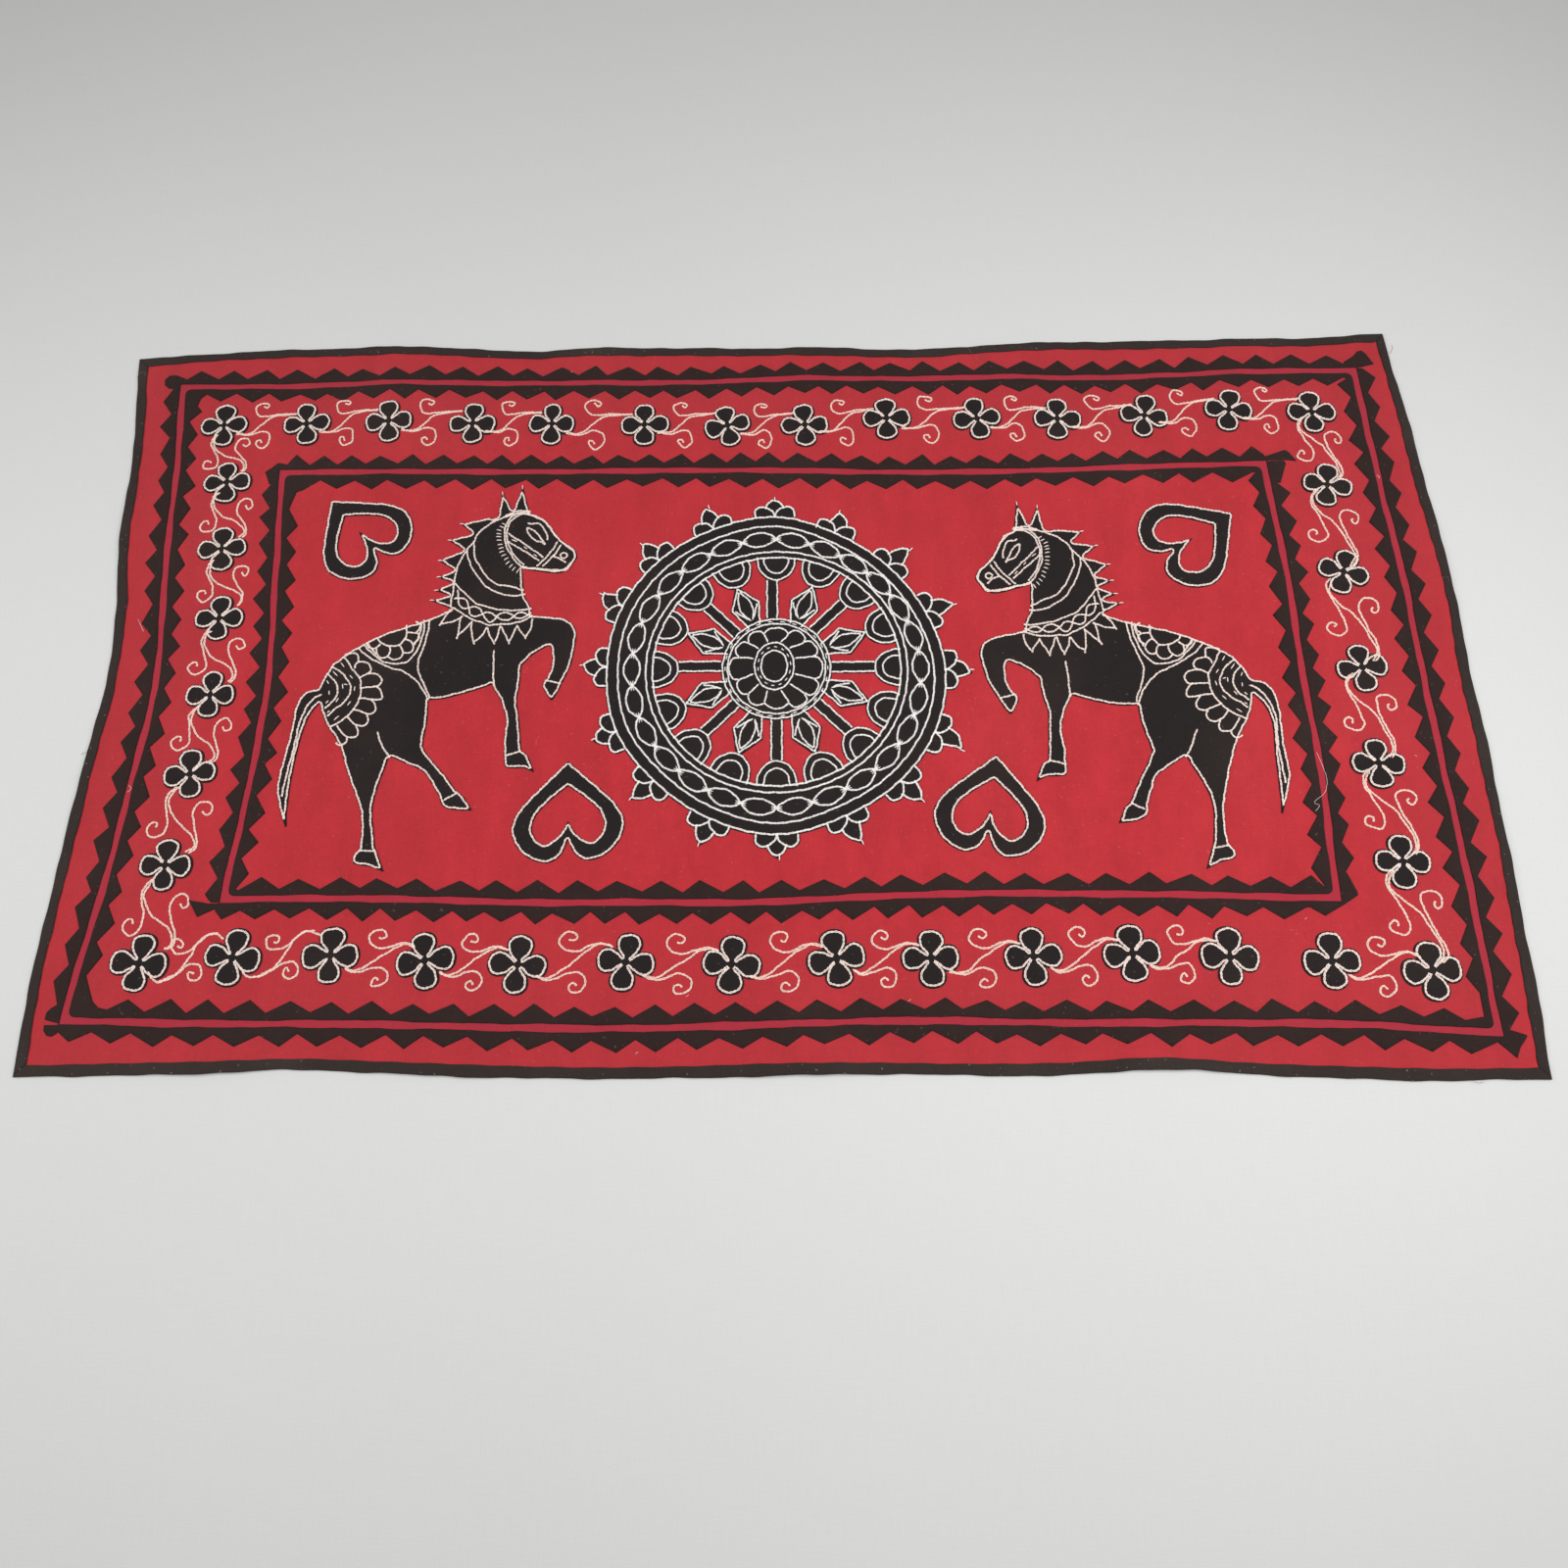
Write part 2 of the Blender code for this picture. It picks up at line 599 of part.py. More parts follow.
def add_object(name, vertices, faces, finish_name):
    """Puts one closed mesh, given in millimetres, into the scene in metres."""
    mesh = bpy.data.meshes.new(name)
    shape = bmesh.new()
    origin = Vector((*plan_middle(), 0))
    corners = [shape.verts.new((Vector(place) - origin) * MM) for place in vertices]
    for face in faces:
        shape.faces.new([corners[i] for i in face])
    loose = [v for v in shape.verts if not v.link_faces]
    bmesh.ops.delete(shape, geom=loose, context="VERTS")
    shape.to_mesh(mesh)
    shape.free()
    piece = bpy.data.objects.new(name, mesh)
    piece.data.materials.append(material(finish_name))
    bpy.context.scene.collection.objects.link(piece)
    return piece


def add_sheet(name, corners, faces, floors, thick, finish_name):
    """A sheet of even thickness over a plan, its underside at the given heights."""
    count = len(corners)
    vertices = [(p[0], p[1], z) for p, z in zip(corners, floors)]
    vertices += [(p[0], p[1], z + thick) for p, z in zip(corners, floors)]
    closed = [tuple(reversed(f)) for f in faces]
    closed += [tuple(i + count for i in f) for f in faces]
    closed += [(a, b, b + count, a + count) for a, b in boundary(faces)]
    return add_object(name, vertices, closed, finish_name)


def add_applique(name, panel, shapes, finish_name):
    """An applique cut along the panel's facets, on which it lies."""
    xs = [p[0] for s in shapes for p in s.ring]
    ys = [p[1] for s in shapes for p in s.ring]
    guides = panel.creases_near((min(xs), min(ys)), (max(xs), max(ys)))
    corners, faces = fill(outline(shapes), guides)
    floors = panel.heights(corners) + PANEL_THICK + LAYER_GAP
    return add_sheet(name, corners, faces, floors, APPLIQUE_THICK, finish_name)


def plan_middle():
    """The middle of the box round the bindings, which becomes the origin."""
    wrap = LAYER_GAP + BINDING_THICK
    outline = [point - way * wrap for point, way in edge_stations()]
    xs = [p.x for p in outline]
    ys = [p.y for p in outline]
    return Vector(((min(xs) + max(xs)) / 2, (min(ys) + max(ys)) / 2))


def binding_profile():
    """Section of a binding: distance in from the panel's edge, and height over its underside."""
    wall = -(LAYER_GAP + BINDING_THICK)
    under = -(LAYER_GAP + BINDING_THICK)
    top = PANEL_THICK + LAYER_GAP + BINDING_THICK
    return (
        (wall, under), (wall, top), (BINDING_SHOWS, top), (BINDING_SHOWS, PANEL_THICK + LAYER_GAP),
        (-LAYER_GAP, PANEL_THICK + LAYER_GAP), (-LAYER_GAP, -LAYER_GAP), (BINDING_SHOWS, -LAYER_GAP),
        (BINDING_SHOWS, under),
    )


def add_bindings(panel):
    """A folded strip over each edge, its ends cut on the mitre."""
    profile = binding_profile()
    size = len(profile)
    first = 0
    for name in SIDES:
        side = Side(EDGE, name)
        count = round(side.length / STATION_STEP)
        vertices, faces = [], []
        for step in range(count + 1):
            index = (first + step) % len(panel.stations)
            point, way = panel.stations[index]
            slip = JOINT_GAP / 2 * ((step == 0) - (step == count))
            for inward, high in profile:
                place = point + way * inward + side.along * slip
                vertices.append((place.x, place.y, panel.lifts[index] + high))
        for step in range(count):
            for i in range(size):
                j = (i + 1) % size
                a, b = step * size, (step + 1) * size
                faces.append((a + i, a + j, b + j, b + i))
        faces.append(tuple(reversed(range(size))))
        faces.append(tuple(range(count * size, (count + 1) * size)))
        add_object(f"binding_{name}", vertices, faces, "binding_cotton")
        first += count


def toothed_edge(side, way, teeth, rng):
    """Valleys and tips along one edge of a strip."""
    pitch = (teeth.last - teeth.first) / (teeth.count - 1)
    points = [side.at(teeth.start, way * VALLEY_OUT)]
    for tooth in range(teeth.count):
        middle = teeth.first + pitch * tooth + rng.uniform(-TOOTH_SLIP, TOOTH_SLIP)
        points.append(side.at(middle, way * (TOOTH_OUT + rng.uniform(-TIP_SLIP, TIP_SLIP))))
        valley = teeth.first + pitch * (tooth + 0.5) + rng.uniform(-TOOTH_SLIP, TOOTH_SLIP)
        if tooth == teeth.count - 1:
            valley = teeth.end
        points.append(side.at(valley, way * (VALLEY_OUT + rng.uniform(-VALLEY_SLIP, VALLEY_SLIP))))
    return points


def straight_edge(side, way, start, end):
    """The straight edge of a strip, which follows its side's drift."""
    steps = math.ceil((end - start) / LINE_STEP)
    return [side.at(start + (end - start) * i / steps, way * LINE_HALF) for i in range(steps + 1)]


def outside_strip(side, starts_square, teeth, rng):
    """One side's length of an outer strip. A square start runs on past the corner, and the other
    stops short of the strip that crosses it."""
    start = -SQUARE_PAST if starts_square else JOINT_GAP - LINE_HALF
    end = side.length + SQUARE_PAST
    outside = toothed_edge(side, 1, teeth, rng)
    ends = [side.at(end, SQUARE_PAST)]
    starts = [side.at(start, SQUARE_PAST)]
    return [*outside, *ends, *reversed(straight_edge(side, 1, start, end)), *starts]


def inside_strip(frame, teeth, insets, rng):
    """The inner strip as a ring turned at the corners: its straight edge, then its toothed one."""
    sides = [Side(frame, name) for name in SIDES]
    line, toothed = [], []
    for index, (name, side) in enumerate(zip(SIDES, sides)):
        after = sides[(index + 1) % len(sides)]
        bend_start, bend_end = LINE_HALF + LINE_BEND, side.length - LINE_HALF - LINE_BEND
        line += straight_edge(side, -1, bend_start, bend_end)
        corner = after.at(LINE_HALF, -LINE_HALF)
        first, last = side.at(bend_end, -LINE_HALF), after.at(bend_start, -LINE_HALF)
        line += [curve_through(first, corner, last, share / BEND_STEPS) for share in range(1, BEND_STEPS)]
        toothed += [side.at(inset.along, -inset.depth) for inset in insets.get(name, ())]
        toothed += toothed_edge(side, -1, teeth[name], rng)
    return line, toothed


def curve_through(first, corner, last, t):
    """A soft bend from first to last that leans on the corner."""
    return first * (1 - t) ** 2 + corner * 2 * t * (1 - t) + last * t**2


def tail(frame, name):
    """What an outer strip has past a corner of its frame."""
    shape = TAILS[name]
    side = Side(frame, shape.side)
    if shape.at_end:
        return [side.at(side.length + past, out) for past, out in shape.points]
    return [side.at(-past, out) for past, out in shape.points]


def add_frame(panel, frame, frame_name, seed):
    """The two lengths of a frame's outer strip, and its inner strip."""
    rng = random.Random(seed)
    outside = OUTSIDE_TEETH[frame_name]
    for length_name, (square, butting) in LENGTHS.items():
        strip_name = f"{frame_name}_strip_{length_name}"
        shapes = [
            Shape(outside_strip(Side(frame, square), True, outside[square], rng), False),
            Shape(outside_strip(Side(frame, butting), False, outside[butting], rng), False),
        ]
        shapes += [Shape(tail(frame, tail_name), False) for tail_name in TAILS_ON[strip_name]]
        add_applique(strip_name, panel, shapes, "black_cotton")
    line, toothed = inside_strip(frame, INSIDE_TEETH[frame_name], INSETS[frame_name], rng)
    add_applique(
        f"{frame_name}_strip_inside", panel, [Shape(line, False), Shape(toothed, True)], "black_cotton"
    )


def flower_ring(flower, reach):
    """Four round petals that meet at narrow notches."""
    ring = []
    for petal in range(PETAL_COUNT):
        for bearing in PETAL_BEARINGS:
            fullness = abs(math.cos(math.radians(2 * bearing))) ** PETAL_ROUNDNESS
            radius = reach * (NOTCH_SHARE + (1 - NOTCH_SHARE) * fullness)
            way = flower.turn + 360 / PETAL_COUNT * petal + bearing
            ring.append(Vector((flower.x, flower.y)) + polar(radius, way))
    return ring


def heart_ring(heart, half):
    """A closed heart outline from half of it."""
    side = smooth(half)
    whole = side + [Vector((p.x, -p.y)) for p in reversed(side[1:-1])]
    tip = Vector((heart.tip_x, heart.tip_y))
    return [tip + turned((p.x, p.y * heart.wide), heart.bearing) for p in whole]


def mirrored(side):
    """A closed ring from its lower side, turned over, and then its upper."""
    return [Vector((x, -y)) for x, y in side] + [Vector(p) for p in reversed(side)]


def rim_radius(bearing):
    """The rim's outer radius at a bearing, smooth from bud to bud."""
    place = (90 - bearing) / 360 * len(BUDS)
    first = math.floor(place)
    near = (BUDS[(first + k) % len(BUDS)].rim for k in (-1, 0, 1, 2))
    return curve_between(*near, place - first)


def wheel_shapes():
    """The wheel's rim, hub, bars, leaves, lobes and buds, in cutting order."""
    centre = Vector(WHEEL_CENTRE)

    def ring(radius_at, steps):
        return [centre + polar(radius_at(360 * i / steps), 360 * i / steps) for i in range(steps)]

    def spoke(points, bearing, aside=0.0):
        return [centre + turned((x, y + aside), bearing) for x, y in points]

    into_rim = RIM_INSIDE + RIM_OVERLAP
    into_hub = HUB_RADIUS - RIM_OVERLAP
    lobe = [(into_rim, -LOBE_HALF)]
    for step in range(LOBE_STEPS + 1):
        angle = math.pi * step / LOBE_STEPS
        reach = (RIM_INSIDE - LOBE_REACH) * math.sin(angle)
        lobe.append((RIM_INSIDE - reach, -LOBE_HALF * math.cos(angle)))
    lobe.append((into_rim, LOBE_HALF))
    bar = mirrored(((into_hub, BAR_HALF), (LEAF_TIP_AT, BAR_HALF)))
    leaf = mirrored((
        (into_hub, LEAF_BASE_HALF), (HUB_RADIUS, LEAF_BASE_HALF),
        (LEAF_SHOULDER_AT, LEAF_SHOULDER_HALF), (LEAF_TIP_AT, LEAF_TIP_HALF),
    ))
    shapes = [
        Shape(ring(rim_radius, RIM_STEPS), False), Shape(ring(lambda _: RIM_INSIDE, RIM_STEPS), True),
        Shape(ring(lambda _: HUB_RADIUS, HUB_STEPS), False),
    ]
    for index, bud in enumerate(BUDS):
        bearing = 90 - 360 * index / len(BUDS)
        bud_side = (
            (bud.rim - RIM_OVERLAP, BUD_HALF), (bud.rim + BUD_SIDE_PAST, BUD_HALF),
            (bud.rim + BUD_SCALLOP_PAST, BUD_SCALLOP_HALF),
            (bud.rim + BUD_SCALLOP_PAST, BUD_SHOULDER_HALF),
        )
        shapes.append(Shape(spoke(lobe, bearing), False))
        shapes.append(Shape(spoke(bar if index % 2 == 0 else leaf, bearing, bud.aside), False))
        base = spoke(mirrored(bud_side), bearing + BUD_LEAN * (bud.bearing - bearing))
        base.insert(len(bud_side), centre + polar(bud.reach, bud.bearing))
        shapes.append(Shape(base, False))
    return shapes


def between(first, second):
    """A closed ring between two smooth edges that run the same way."""
    return smooth(first) + list(reversed(smooth(second)))


def horse_rings():
    """The horse's parts as overlapping rings, in its own plan."""
    rings = [between([(s.x, s.top) for s in TRUNK], [(s.x, s.belly) for s in TRUNK])]
    for levels in (HAUNCH, HIND_LEG, FORE_LEG, NECK):
        rings.append(between([(s.back, s.y) for s in levels], [(s.front, s.y) for s in levels]))
    hooves = (HIND_HOOF, STEPPING_HOOF, FORE_HOOF, RAISED_HOOF)
    for pairs in (STEPPING_LEG, RAISED_LEG, *hooves, TAIL, HEAD):
        rings.append(between([(s.x1, s.y1) for s in pairs], [(s.x2, s.y2) for s in pairs]))
    rings += [spike_ring(spike, MANE_ROOT) for spike in MANE]
    rings += [spike_ring(spike, EAR_ROOT) for spike in EARS]
    return rings


def spike_ring(spike, root):
    """A pointed spike whose foot reaches into the body by the root."""
    first, last = Vector((spike.root_x, spike.root_y)), Vector((spike.end_x, spike.end_y))
    return [first, Vector((spike.tip_x, spike.tip_y)), last, (first + last) / 2 + Vector(root)]


def place_horse(point, placed):
    """A point of the horse's pattern where it lies on the panel."""
    x, y = point
    if placed.mirrored:
        x = -x
    spot = Vector((placed.x, placed.y)) + turned(Vector((x, y)) * placed.size, placed.turn)
    total = SLIP_HOLD
    stray = Vector((0, 0))
    for slip in placed.slips:
        distance = (spot - Vector((slip.x, slip.y))).length
        weight = math.exp(-((distance / SLIP_FADE) ** 2))
        total += weight
        stray += weight * Vector((slip.right, slip.up))
    return spot + stray / total


def main():
    for old in list(bpy.data.objects):
        bpy.data.objects.remove(old)
    panel = Panel()
    add_sheet("ground_panel", panel.corners, panel.faces, panel.lifts, PANEL_THICK, "red_cotton")
    add_bindings(panel)
    add_frame(panel, OUTER_FRAME, "outer", 11)
    add_frame(panel, INNER_FRAME, "inner", 23)
    for side, row in FLOWERS.items():
        for number, flower in enumerate(row, 1):
            ring = flower_ring(flower, FLOWER_REACH[side])
            add_applique(f"flower_{side}_{number:02d}", panel, [Shape(ring, False)], "black_cotton")
    for name, heart in HEARTS.items():
        hole = (*HEART_HOLE_HALF, (heart.cusp, 0))
        shapes = [Shape(heart_ring(heart, HEART_HALF), False), Shape(heart_ring(heart, hole), True)]
        add_applique(f"heart_{name}", panel, shapes, "black_cotton")
    add_applique("wheel", panel, wheel_shapes(), "black_cotton")
    for name, placed in HORSES.items():
        shapes = [Shape([place_horse(p, placed) for p in ring], False) for ring in horse_rings()]
        add_applique(f"horse_{name}", panel, shapes, "black_cotton")


main()
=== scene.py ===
"""The look of an applique tapestry lying face up: a red cotton panel bound in black, with toothed
black strips, flowers, open hearts, two horses and a wheel, all chain-stitched.

Plan sizes are in millimetres until add_piece, with +X to the right and +Y to the top edge."""

import math
import random
from collections import namedtuple

import bpy
import numpy as np
from bpy.props import FloatProperty, FloatVectorProperty, PointerProperty
from mathutils import Matrix, Vector
from mathutils.geometry import delaunay_2d_cdt


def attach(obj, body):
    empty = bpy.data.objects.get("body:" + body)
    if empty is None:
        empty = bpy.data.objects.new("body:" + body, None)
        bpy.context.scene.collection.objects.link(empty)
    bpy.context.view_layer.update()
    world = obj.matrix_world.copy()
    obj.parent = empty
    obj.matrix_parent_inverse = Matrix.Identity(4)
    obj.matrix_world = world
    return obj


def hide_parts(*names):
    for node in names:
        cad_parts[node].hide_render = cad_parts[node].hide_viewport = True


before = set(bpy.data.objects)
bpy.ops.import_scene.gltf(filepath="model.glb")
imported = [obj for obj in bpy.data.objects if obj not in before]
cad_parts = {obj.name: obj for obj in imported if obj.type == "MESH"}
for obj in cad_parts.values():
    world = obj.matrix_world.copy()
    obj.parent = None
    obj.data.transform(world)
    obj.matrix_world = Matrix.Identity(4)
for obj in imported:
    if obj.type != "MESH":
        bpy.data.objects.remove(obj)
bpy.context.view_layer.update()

bl_info = {
    "name": "Applique tapestry",
    "version": (1, 0, 0),
    "blender": (4, 5, 0),
    "location": "3D View > Sidebar > Tapestry",
    "description": "Sews an applique tapestry with chain-stitch embroidery",
    "category": "Object",
}

MM = 0.001

# Where the middle of the bound panel lies in the plan
PLAN_MIDDLE = (1.7854, 0.7466)

# Heights over the ground panel's underside
GROUND_TOP = 0.95
BLACK_BASE = 1.0
BLACK_THICK = 1.2
BLACK_EDGE = 0.45
BLACK_TOP = BLACK_BASE + BLACK_THICK
EDGE_ROUNDING = 2.2

# Binding and frames. Each frame is an outer and an inner strip, and the red panel shows as a line
# between their straight edges.
BINDING_SHOWS = 10.0
RIM_LIFT = 1.3
LINE_HALF = 3.6
LINE_BEND = 8.0
LINE_STEP = 8.0
VALLEY_OUT = 10.8
TOOTH_OUT = 22.5
TOOTH_SLIP = 3.0
VALLEY_SLIP = 1.2
TIP_SLIP = 1.8
SQUARE_PAST = 5.0
JOINT_GAP = 0.5

# Places measured at once, the shortest length that a direction is read from, and the least rise
# of an edge when its crossings are counted
PART_SIZE = 500
LEAST_LENGTH = 1e-9
LEAST_RISE = 1e-12

# Triangulation: 0 keeps the whole hull, so that each triangle can be tested
KEEP_HULL = 0
MERGE_WITHIN = 1e-4

Corner = namedtuple("Corner", "x y")
Frame = namedtuple("Frame", "corners drift")
Shape = namedtuple("Shape", "ring cut")
Fold = namedtuple("Fold", "x y bearing long wide high")
Flower = namedtuple("Flower", "x y turn")
Heart = namedtuple("Heart", "tip_x tip_y bearing wide cusp")
Half = namedtuple("Half", "along aside")
Placed = namedtuple("Placed", "x y turn size mirrored slips")
Slip = namedtuple("Slip", "x y right up")
Bud = namedtuple("Bud", "bearing reach rim aside")
Level = namedtuple("Level", "y back front")
Across = namedtuple("Across", "x top belly")
Pair = namedtuple("Pair", "x1 y1 x2 y2")
Spike = namedtuple("Spike", "root_x root_y tip_x tip_y end_x end_y")
Tail = namedtuple("Tail", "side at_end points")
Teeth = namedtuple("Teeth", "start first last end count")
Inset = namedtuple("Inset", "along depth")
Area = namedtuple("Area", "x y half_x half_y bearing spread count high")
Motif = namedtuple("Motif", "gap stem lower_curl upper_curl")
Yarn = namedtuple("Yarn", "side share out bearing long curl red")
Patch = namedtuple("Patch", "x y half_x half_y count")
PaleEnd = namedtuple("PaleEnd", "frame side points")
Look = namedtuple(
    "Look",
    "pitch mottle_scale slub mottle relief faded worn grain lint lint_colour worn_edge edge_colour height "
    "sheen border_shade streak",
)
Lamp = namedtuple("Lamp", "name wide deep watts colour place")


def rows_of(kind, *rows):
    """Rows of numbers, each made into one of a kind."""
    return tuple(kind(*row) for row in rows)


SIDES = ("top", "right", "bottom", "left")

# The outer strip is laid in two L-shaped lengths: the side whose two ends run past the corners,
# and the side that butts against the other length
LENGTHS = {"top_left": ("top", "left"), "bottom_right": ("bottom", "right")}

# The outer strips' corners. Points: how far past the corner along the side, and how far out.
TAILS = {
    "outer_top": Tail("top", True, (
        (-10, 12), (2, 20), (8, 26.5), (13, 28), (17, 24), (25, 8.5), (9, 4.2), (-10, 4.2),
    )),
    "outer_top_knob": Tail("top", False, (
        (-3, 4.5), (-2, 11), (4, 14), (11, 17), (19.5, 16.5), (24, 10.5), (23, 3), (17, -2), (4.5, -3),
        (4.5, 4.5),
    )),
    "outer_left_foot": Tail("left", False, (
        (-17, 9), (-12, 16), (-8, 19), (-1, 19), (1, 12), (2.5, 4.5), (-17, 4.5),
    )),
    "outer_bottom": Tail("bottom", False, (
        (-6, 7), (13, 24.5), (18, 14), (27.5, 2.5), (10, -3), (4.5, -3), (4.5, 4.5), (-6, 4.5),
    )),
    "outer_bottom_knob": Tail("bottom", True, ((2, 4.5), (4, 13), (9, 16), (14, 15), (18, 10), (18.5, 4.5))),
    "inner_top": Tail("top", True, (
        (0, 9), (3, 9.5), (27, 18), (31, 14.5), (38.5, 2.8), (27, 4.2), (0, 4.2),
    )),
    "inner_top_corner": Tail("top", False, (
        (-4, 10.5), (2.5, 12.5), (7, 13), (13, 7), (20.5, 1), (13.5, -15.5), (4.5, -15.5), (4.5, 4.5),
        (-4, 4.5),
    )),
    "inner_right_foot": Tail("right", False, (
        (3.1, 4.5), (3.1, 24), (-1, 25.5), (-7, 23), (-26, 15), (-26, 4.5),
    )),
    "inner_bottom": Tail("bottom", True, (
        (2, 9), (9, 11), (24.5, 18.5), (36, 0.8), (22, 2.8), (16, 4.2), (2, 4.2),
    )),
    "inner_bottom_corner": Tail("bottom", False, (
        (-33, 8), (-15, 19), (6, 7), (21, -2.5), (21, -6), (13, -26.5), (4.5, -26.5), (4.5, 4.5), (-33, 4.5),
    )),
    "inner_left_foot": Tail("left", False, (
        (3.1, 4.5), (3.1, 12), (1, 15), (-6, 20.5), (-23, 10), (-23, 4.5),
    )),
}
TAILS_ON = {
    "outer_strip_top_left": ("outer_top", "outer_top_knob", "outer_left_foot"),
    "outer_strip_bottom_right": ("outer_bottom", "outer_bottom_knob"),
    "inner_strip_top_left": ("inner_top", "inner_top_corner", "inner_left_foot"),
    "inner_strip_bottom_right": ("inner_bottom", "inner_bottom_corner", "inner_right_foot"),
}

# Teeth along each side of an outer strip and of an inner one, clockwise from the top: where its
# first valley, first tip, last tip and last valley lie, and how many teeth there are
OUTSIDE_TEETH = {
    "outer": {
        "top": Teeth(3, 19, 1368, 1388, 35), "right": Teeth(-2, 12, 756, 771, 20),
        "bottom": Teeth(6, 28, 1415, 1429, 34), "left": Teeth(17, 40, 735, 751, 20),
    },
    "inner": {
        "top": Teeth(4, 11, 1131, 1143, 33), "right": Teeth(26, 42, 470, 486, 14),
        "bottom": Teeth(33, 59, 1142, 1151, 31), "left": Teeth(23, 42, 482, 495, 14),
    },
}
INSIDE_TEETH = {
    "outer": {
        "top": Teeth(30, 50, 1368, 1386, 37), "right": Teeth(11, 19, 721, 735, 20),
        "bottom": Teeth(31, 51, 1363, 1383, 33), "left": Teeth(45, 65, 688, 705, 19),
    },
    "inner": {
        "top": Teeth(46, 66, 1100, 1126, 27), "right": Teeth(11, 19, 478, 498, 14),
        "bottom": Teeth(11, 23, 1110, 1130, 27), "left": Teeth(11, 25, 438, 461, 13),
    },
}

# What the inner strip's toothed edge passes at a corner before the named side: how far along that
# side, and how far in from it. At the other corners two teeth meet at a slit.
INSETS = {
    "outer": {
        "top": (Inset(28, 35), Inset(21.5, 27), Inset(24, 17)), "bottom": (Inset(12, 15),),
        "left": (Inset(13, 32), Inset(19, 25), Inset(30, 19)),
    },
    "inner": {"top": (Inset(20, 27), Inset(27, 24))},
}

# Corners run clockwise from the top left. Drift is how far evenly spaced stations of a side
# lie outside the straight line between its corners, clockwise too.
EDGE = Frame(
    corners=(Corner(-760, 424), Corner(738, 434), Corner(760, -433), Corner(-743, -423)),
    drift={
        "top": (6, 9, 9, 7, 0, 1, 0, -3, -5, -9, -6, -3, -4, -4, -4),
        "right": (6, 9, 12, 15, 12, 12, 10, 8, 5),
        "bottom": (1, -1, -4, -9, -4, -3, -4, -3, 0, 1, -1, -4, -7, -4, -2),
        "left": (0, -5, -12, -19, -26, -24, -15, -13, -8),
    },
)
OUTER_FRAME = Frame(
    corners=(Corner(-702, 385), Corner(698, 385), Corner(720, -389), Corner(-705, -369)),
    drift={
        "top": (-1, 1, -2, -4, -2, -2, -4, -5, -1),
        "right": (1, 3, 3, 2, 2),
        "bottom": (-7, -7, -6, -7, -2, 3, 3, 1, 2),
        "left": (-14, -26, -31, -20, -12),
    },
)
INNER_FRAME = Frame(
    corners=(Corner(-566, 264), Corner(575, 259), Corner(583, -253), Corner(-561, -246)),
    drift={
        "top": (0, -2, -2, -3, -7, -7, -3),
        "right": (5, 4, 5),
        "bottom": (-3, -5, -4, 3, 4, 3, -1),
        "left": (-11, -16, -8),
    },
)
FRAMES = {"outer": OUTER_FRAME, "inner": INNER_FRAME}

# Low ridges in which the panel lies off the floor: middle, bearing in degrees, half length,
# half width and height
FOLDS = rows_of(
    Fold, (-440, 395, 80, 150, 95, 3.0), (-205, 400, 95, 120, 90, 2.2), (40, 385, 88, 140, 100, 2.6),
    (290, 400, 100, 130, 95, 3.2), (560, 400, 80, 120, 100, 2.2), (-560, -400, 70, 130, 100, 2.4),
    (-330, -395, 95, 120, 95, 2.0), (40, -400, 88, 150, 105, 2.8), (400, -390, 75, 160, 95, 3.0),
    (-700, 190, 10, 130, 95, 2.8), (-695, -120, -8, 130, 100, 2.4), (720, 120, 8, 130, 100, 2.6),
    (725, -200, -12, 130, 95, 2.2), (430, -130, 62, 170, 90, 1.8), (-150, -190, 118, 150, 90, 1.4),
    (-560, 60, 92, 150, 90, 1.4),
)

FLOWER_REACH = {"top": 28.5, "bottom": 30.0, "left": 28.0, "right": 28.5}
FLOWERS = {
    "top": rows_of(
        Flower, (-644, 329, 3), (-545, 330, 7), (-447, 331, 6), (-347, 327, 0), (-253, 325, 0),
        (-143, 322, 2), (-45, 319, 13), (46, 318, 4), (142, 326, 2), (248, 324, 8), (342, 322, -3),
        (444, 325, -11), (543, 331, -9), (639, 327, 0),
    ),
    "right": rows_of(
        Flower, (643, 229, -10), (644, 117, -19), (647, 1, 6), (647, -109, 0), (654, -216, -3),
    ),
    "bottom": rows_of(
        Flower, (-637, -312, -6), (-542, -307, -8), (-442, -305, 0), (-345, -311, 8), (-250, -316, -5),
        (-141, -314, -7), (-34, -317, -5), (72, -312, 10), (167, -312, 2), (270, -311, 4), (369, -309, 4),
        (466, -313, -4), (567, -318, 2), (665, -328, 3),
    ),
    "left": rows_of(
        Flower, (-629, 251, 4), (-622, 163, 4), (-612, 75, 0), (-608, -17, 0), (-616, -109, 8),
        (-627, -209, -1),
    ),
}

# Half of an open heart, from its tip along its axis: distance from the tip, and aside. The
# hole's half ends before its cusp, which each heart has at its own distance.
HEART_HALF = rows_of(
    Half, (0, 0), (16, 16), (34, 34), (52, 50), (72, 58), (92, 52), (106, 38), (111, 20), (103, 7), (87, 0),
)
HEART_HOLE_HALF = rows_of(
    Half, (28, 0), (40, 15), (56, 31), (72, 37), (86, 32), (91, 22), (82, 9),
)
HEARTS = {
    "upper_left": Heart(-504, 225, -48, 0.97, 55),
    "upper_right": Heart(531, 194, -147, 1.0, 58),
    "lower_left": Heart(-211, -98, -87, 1.03, 67),
    "lower_right": Heart(246, -95, -99, 1.02, 62),
}

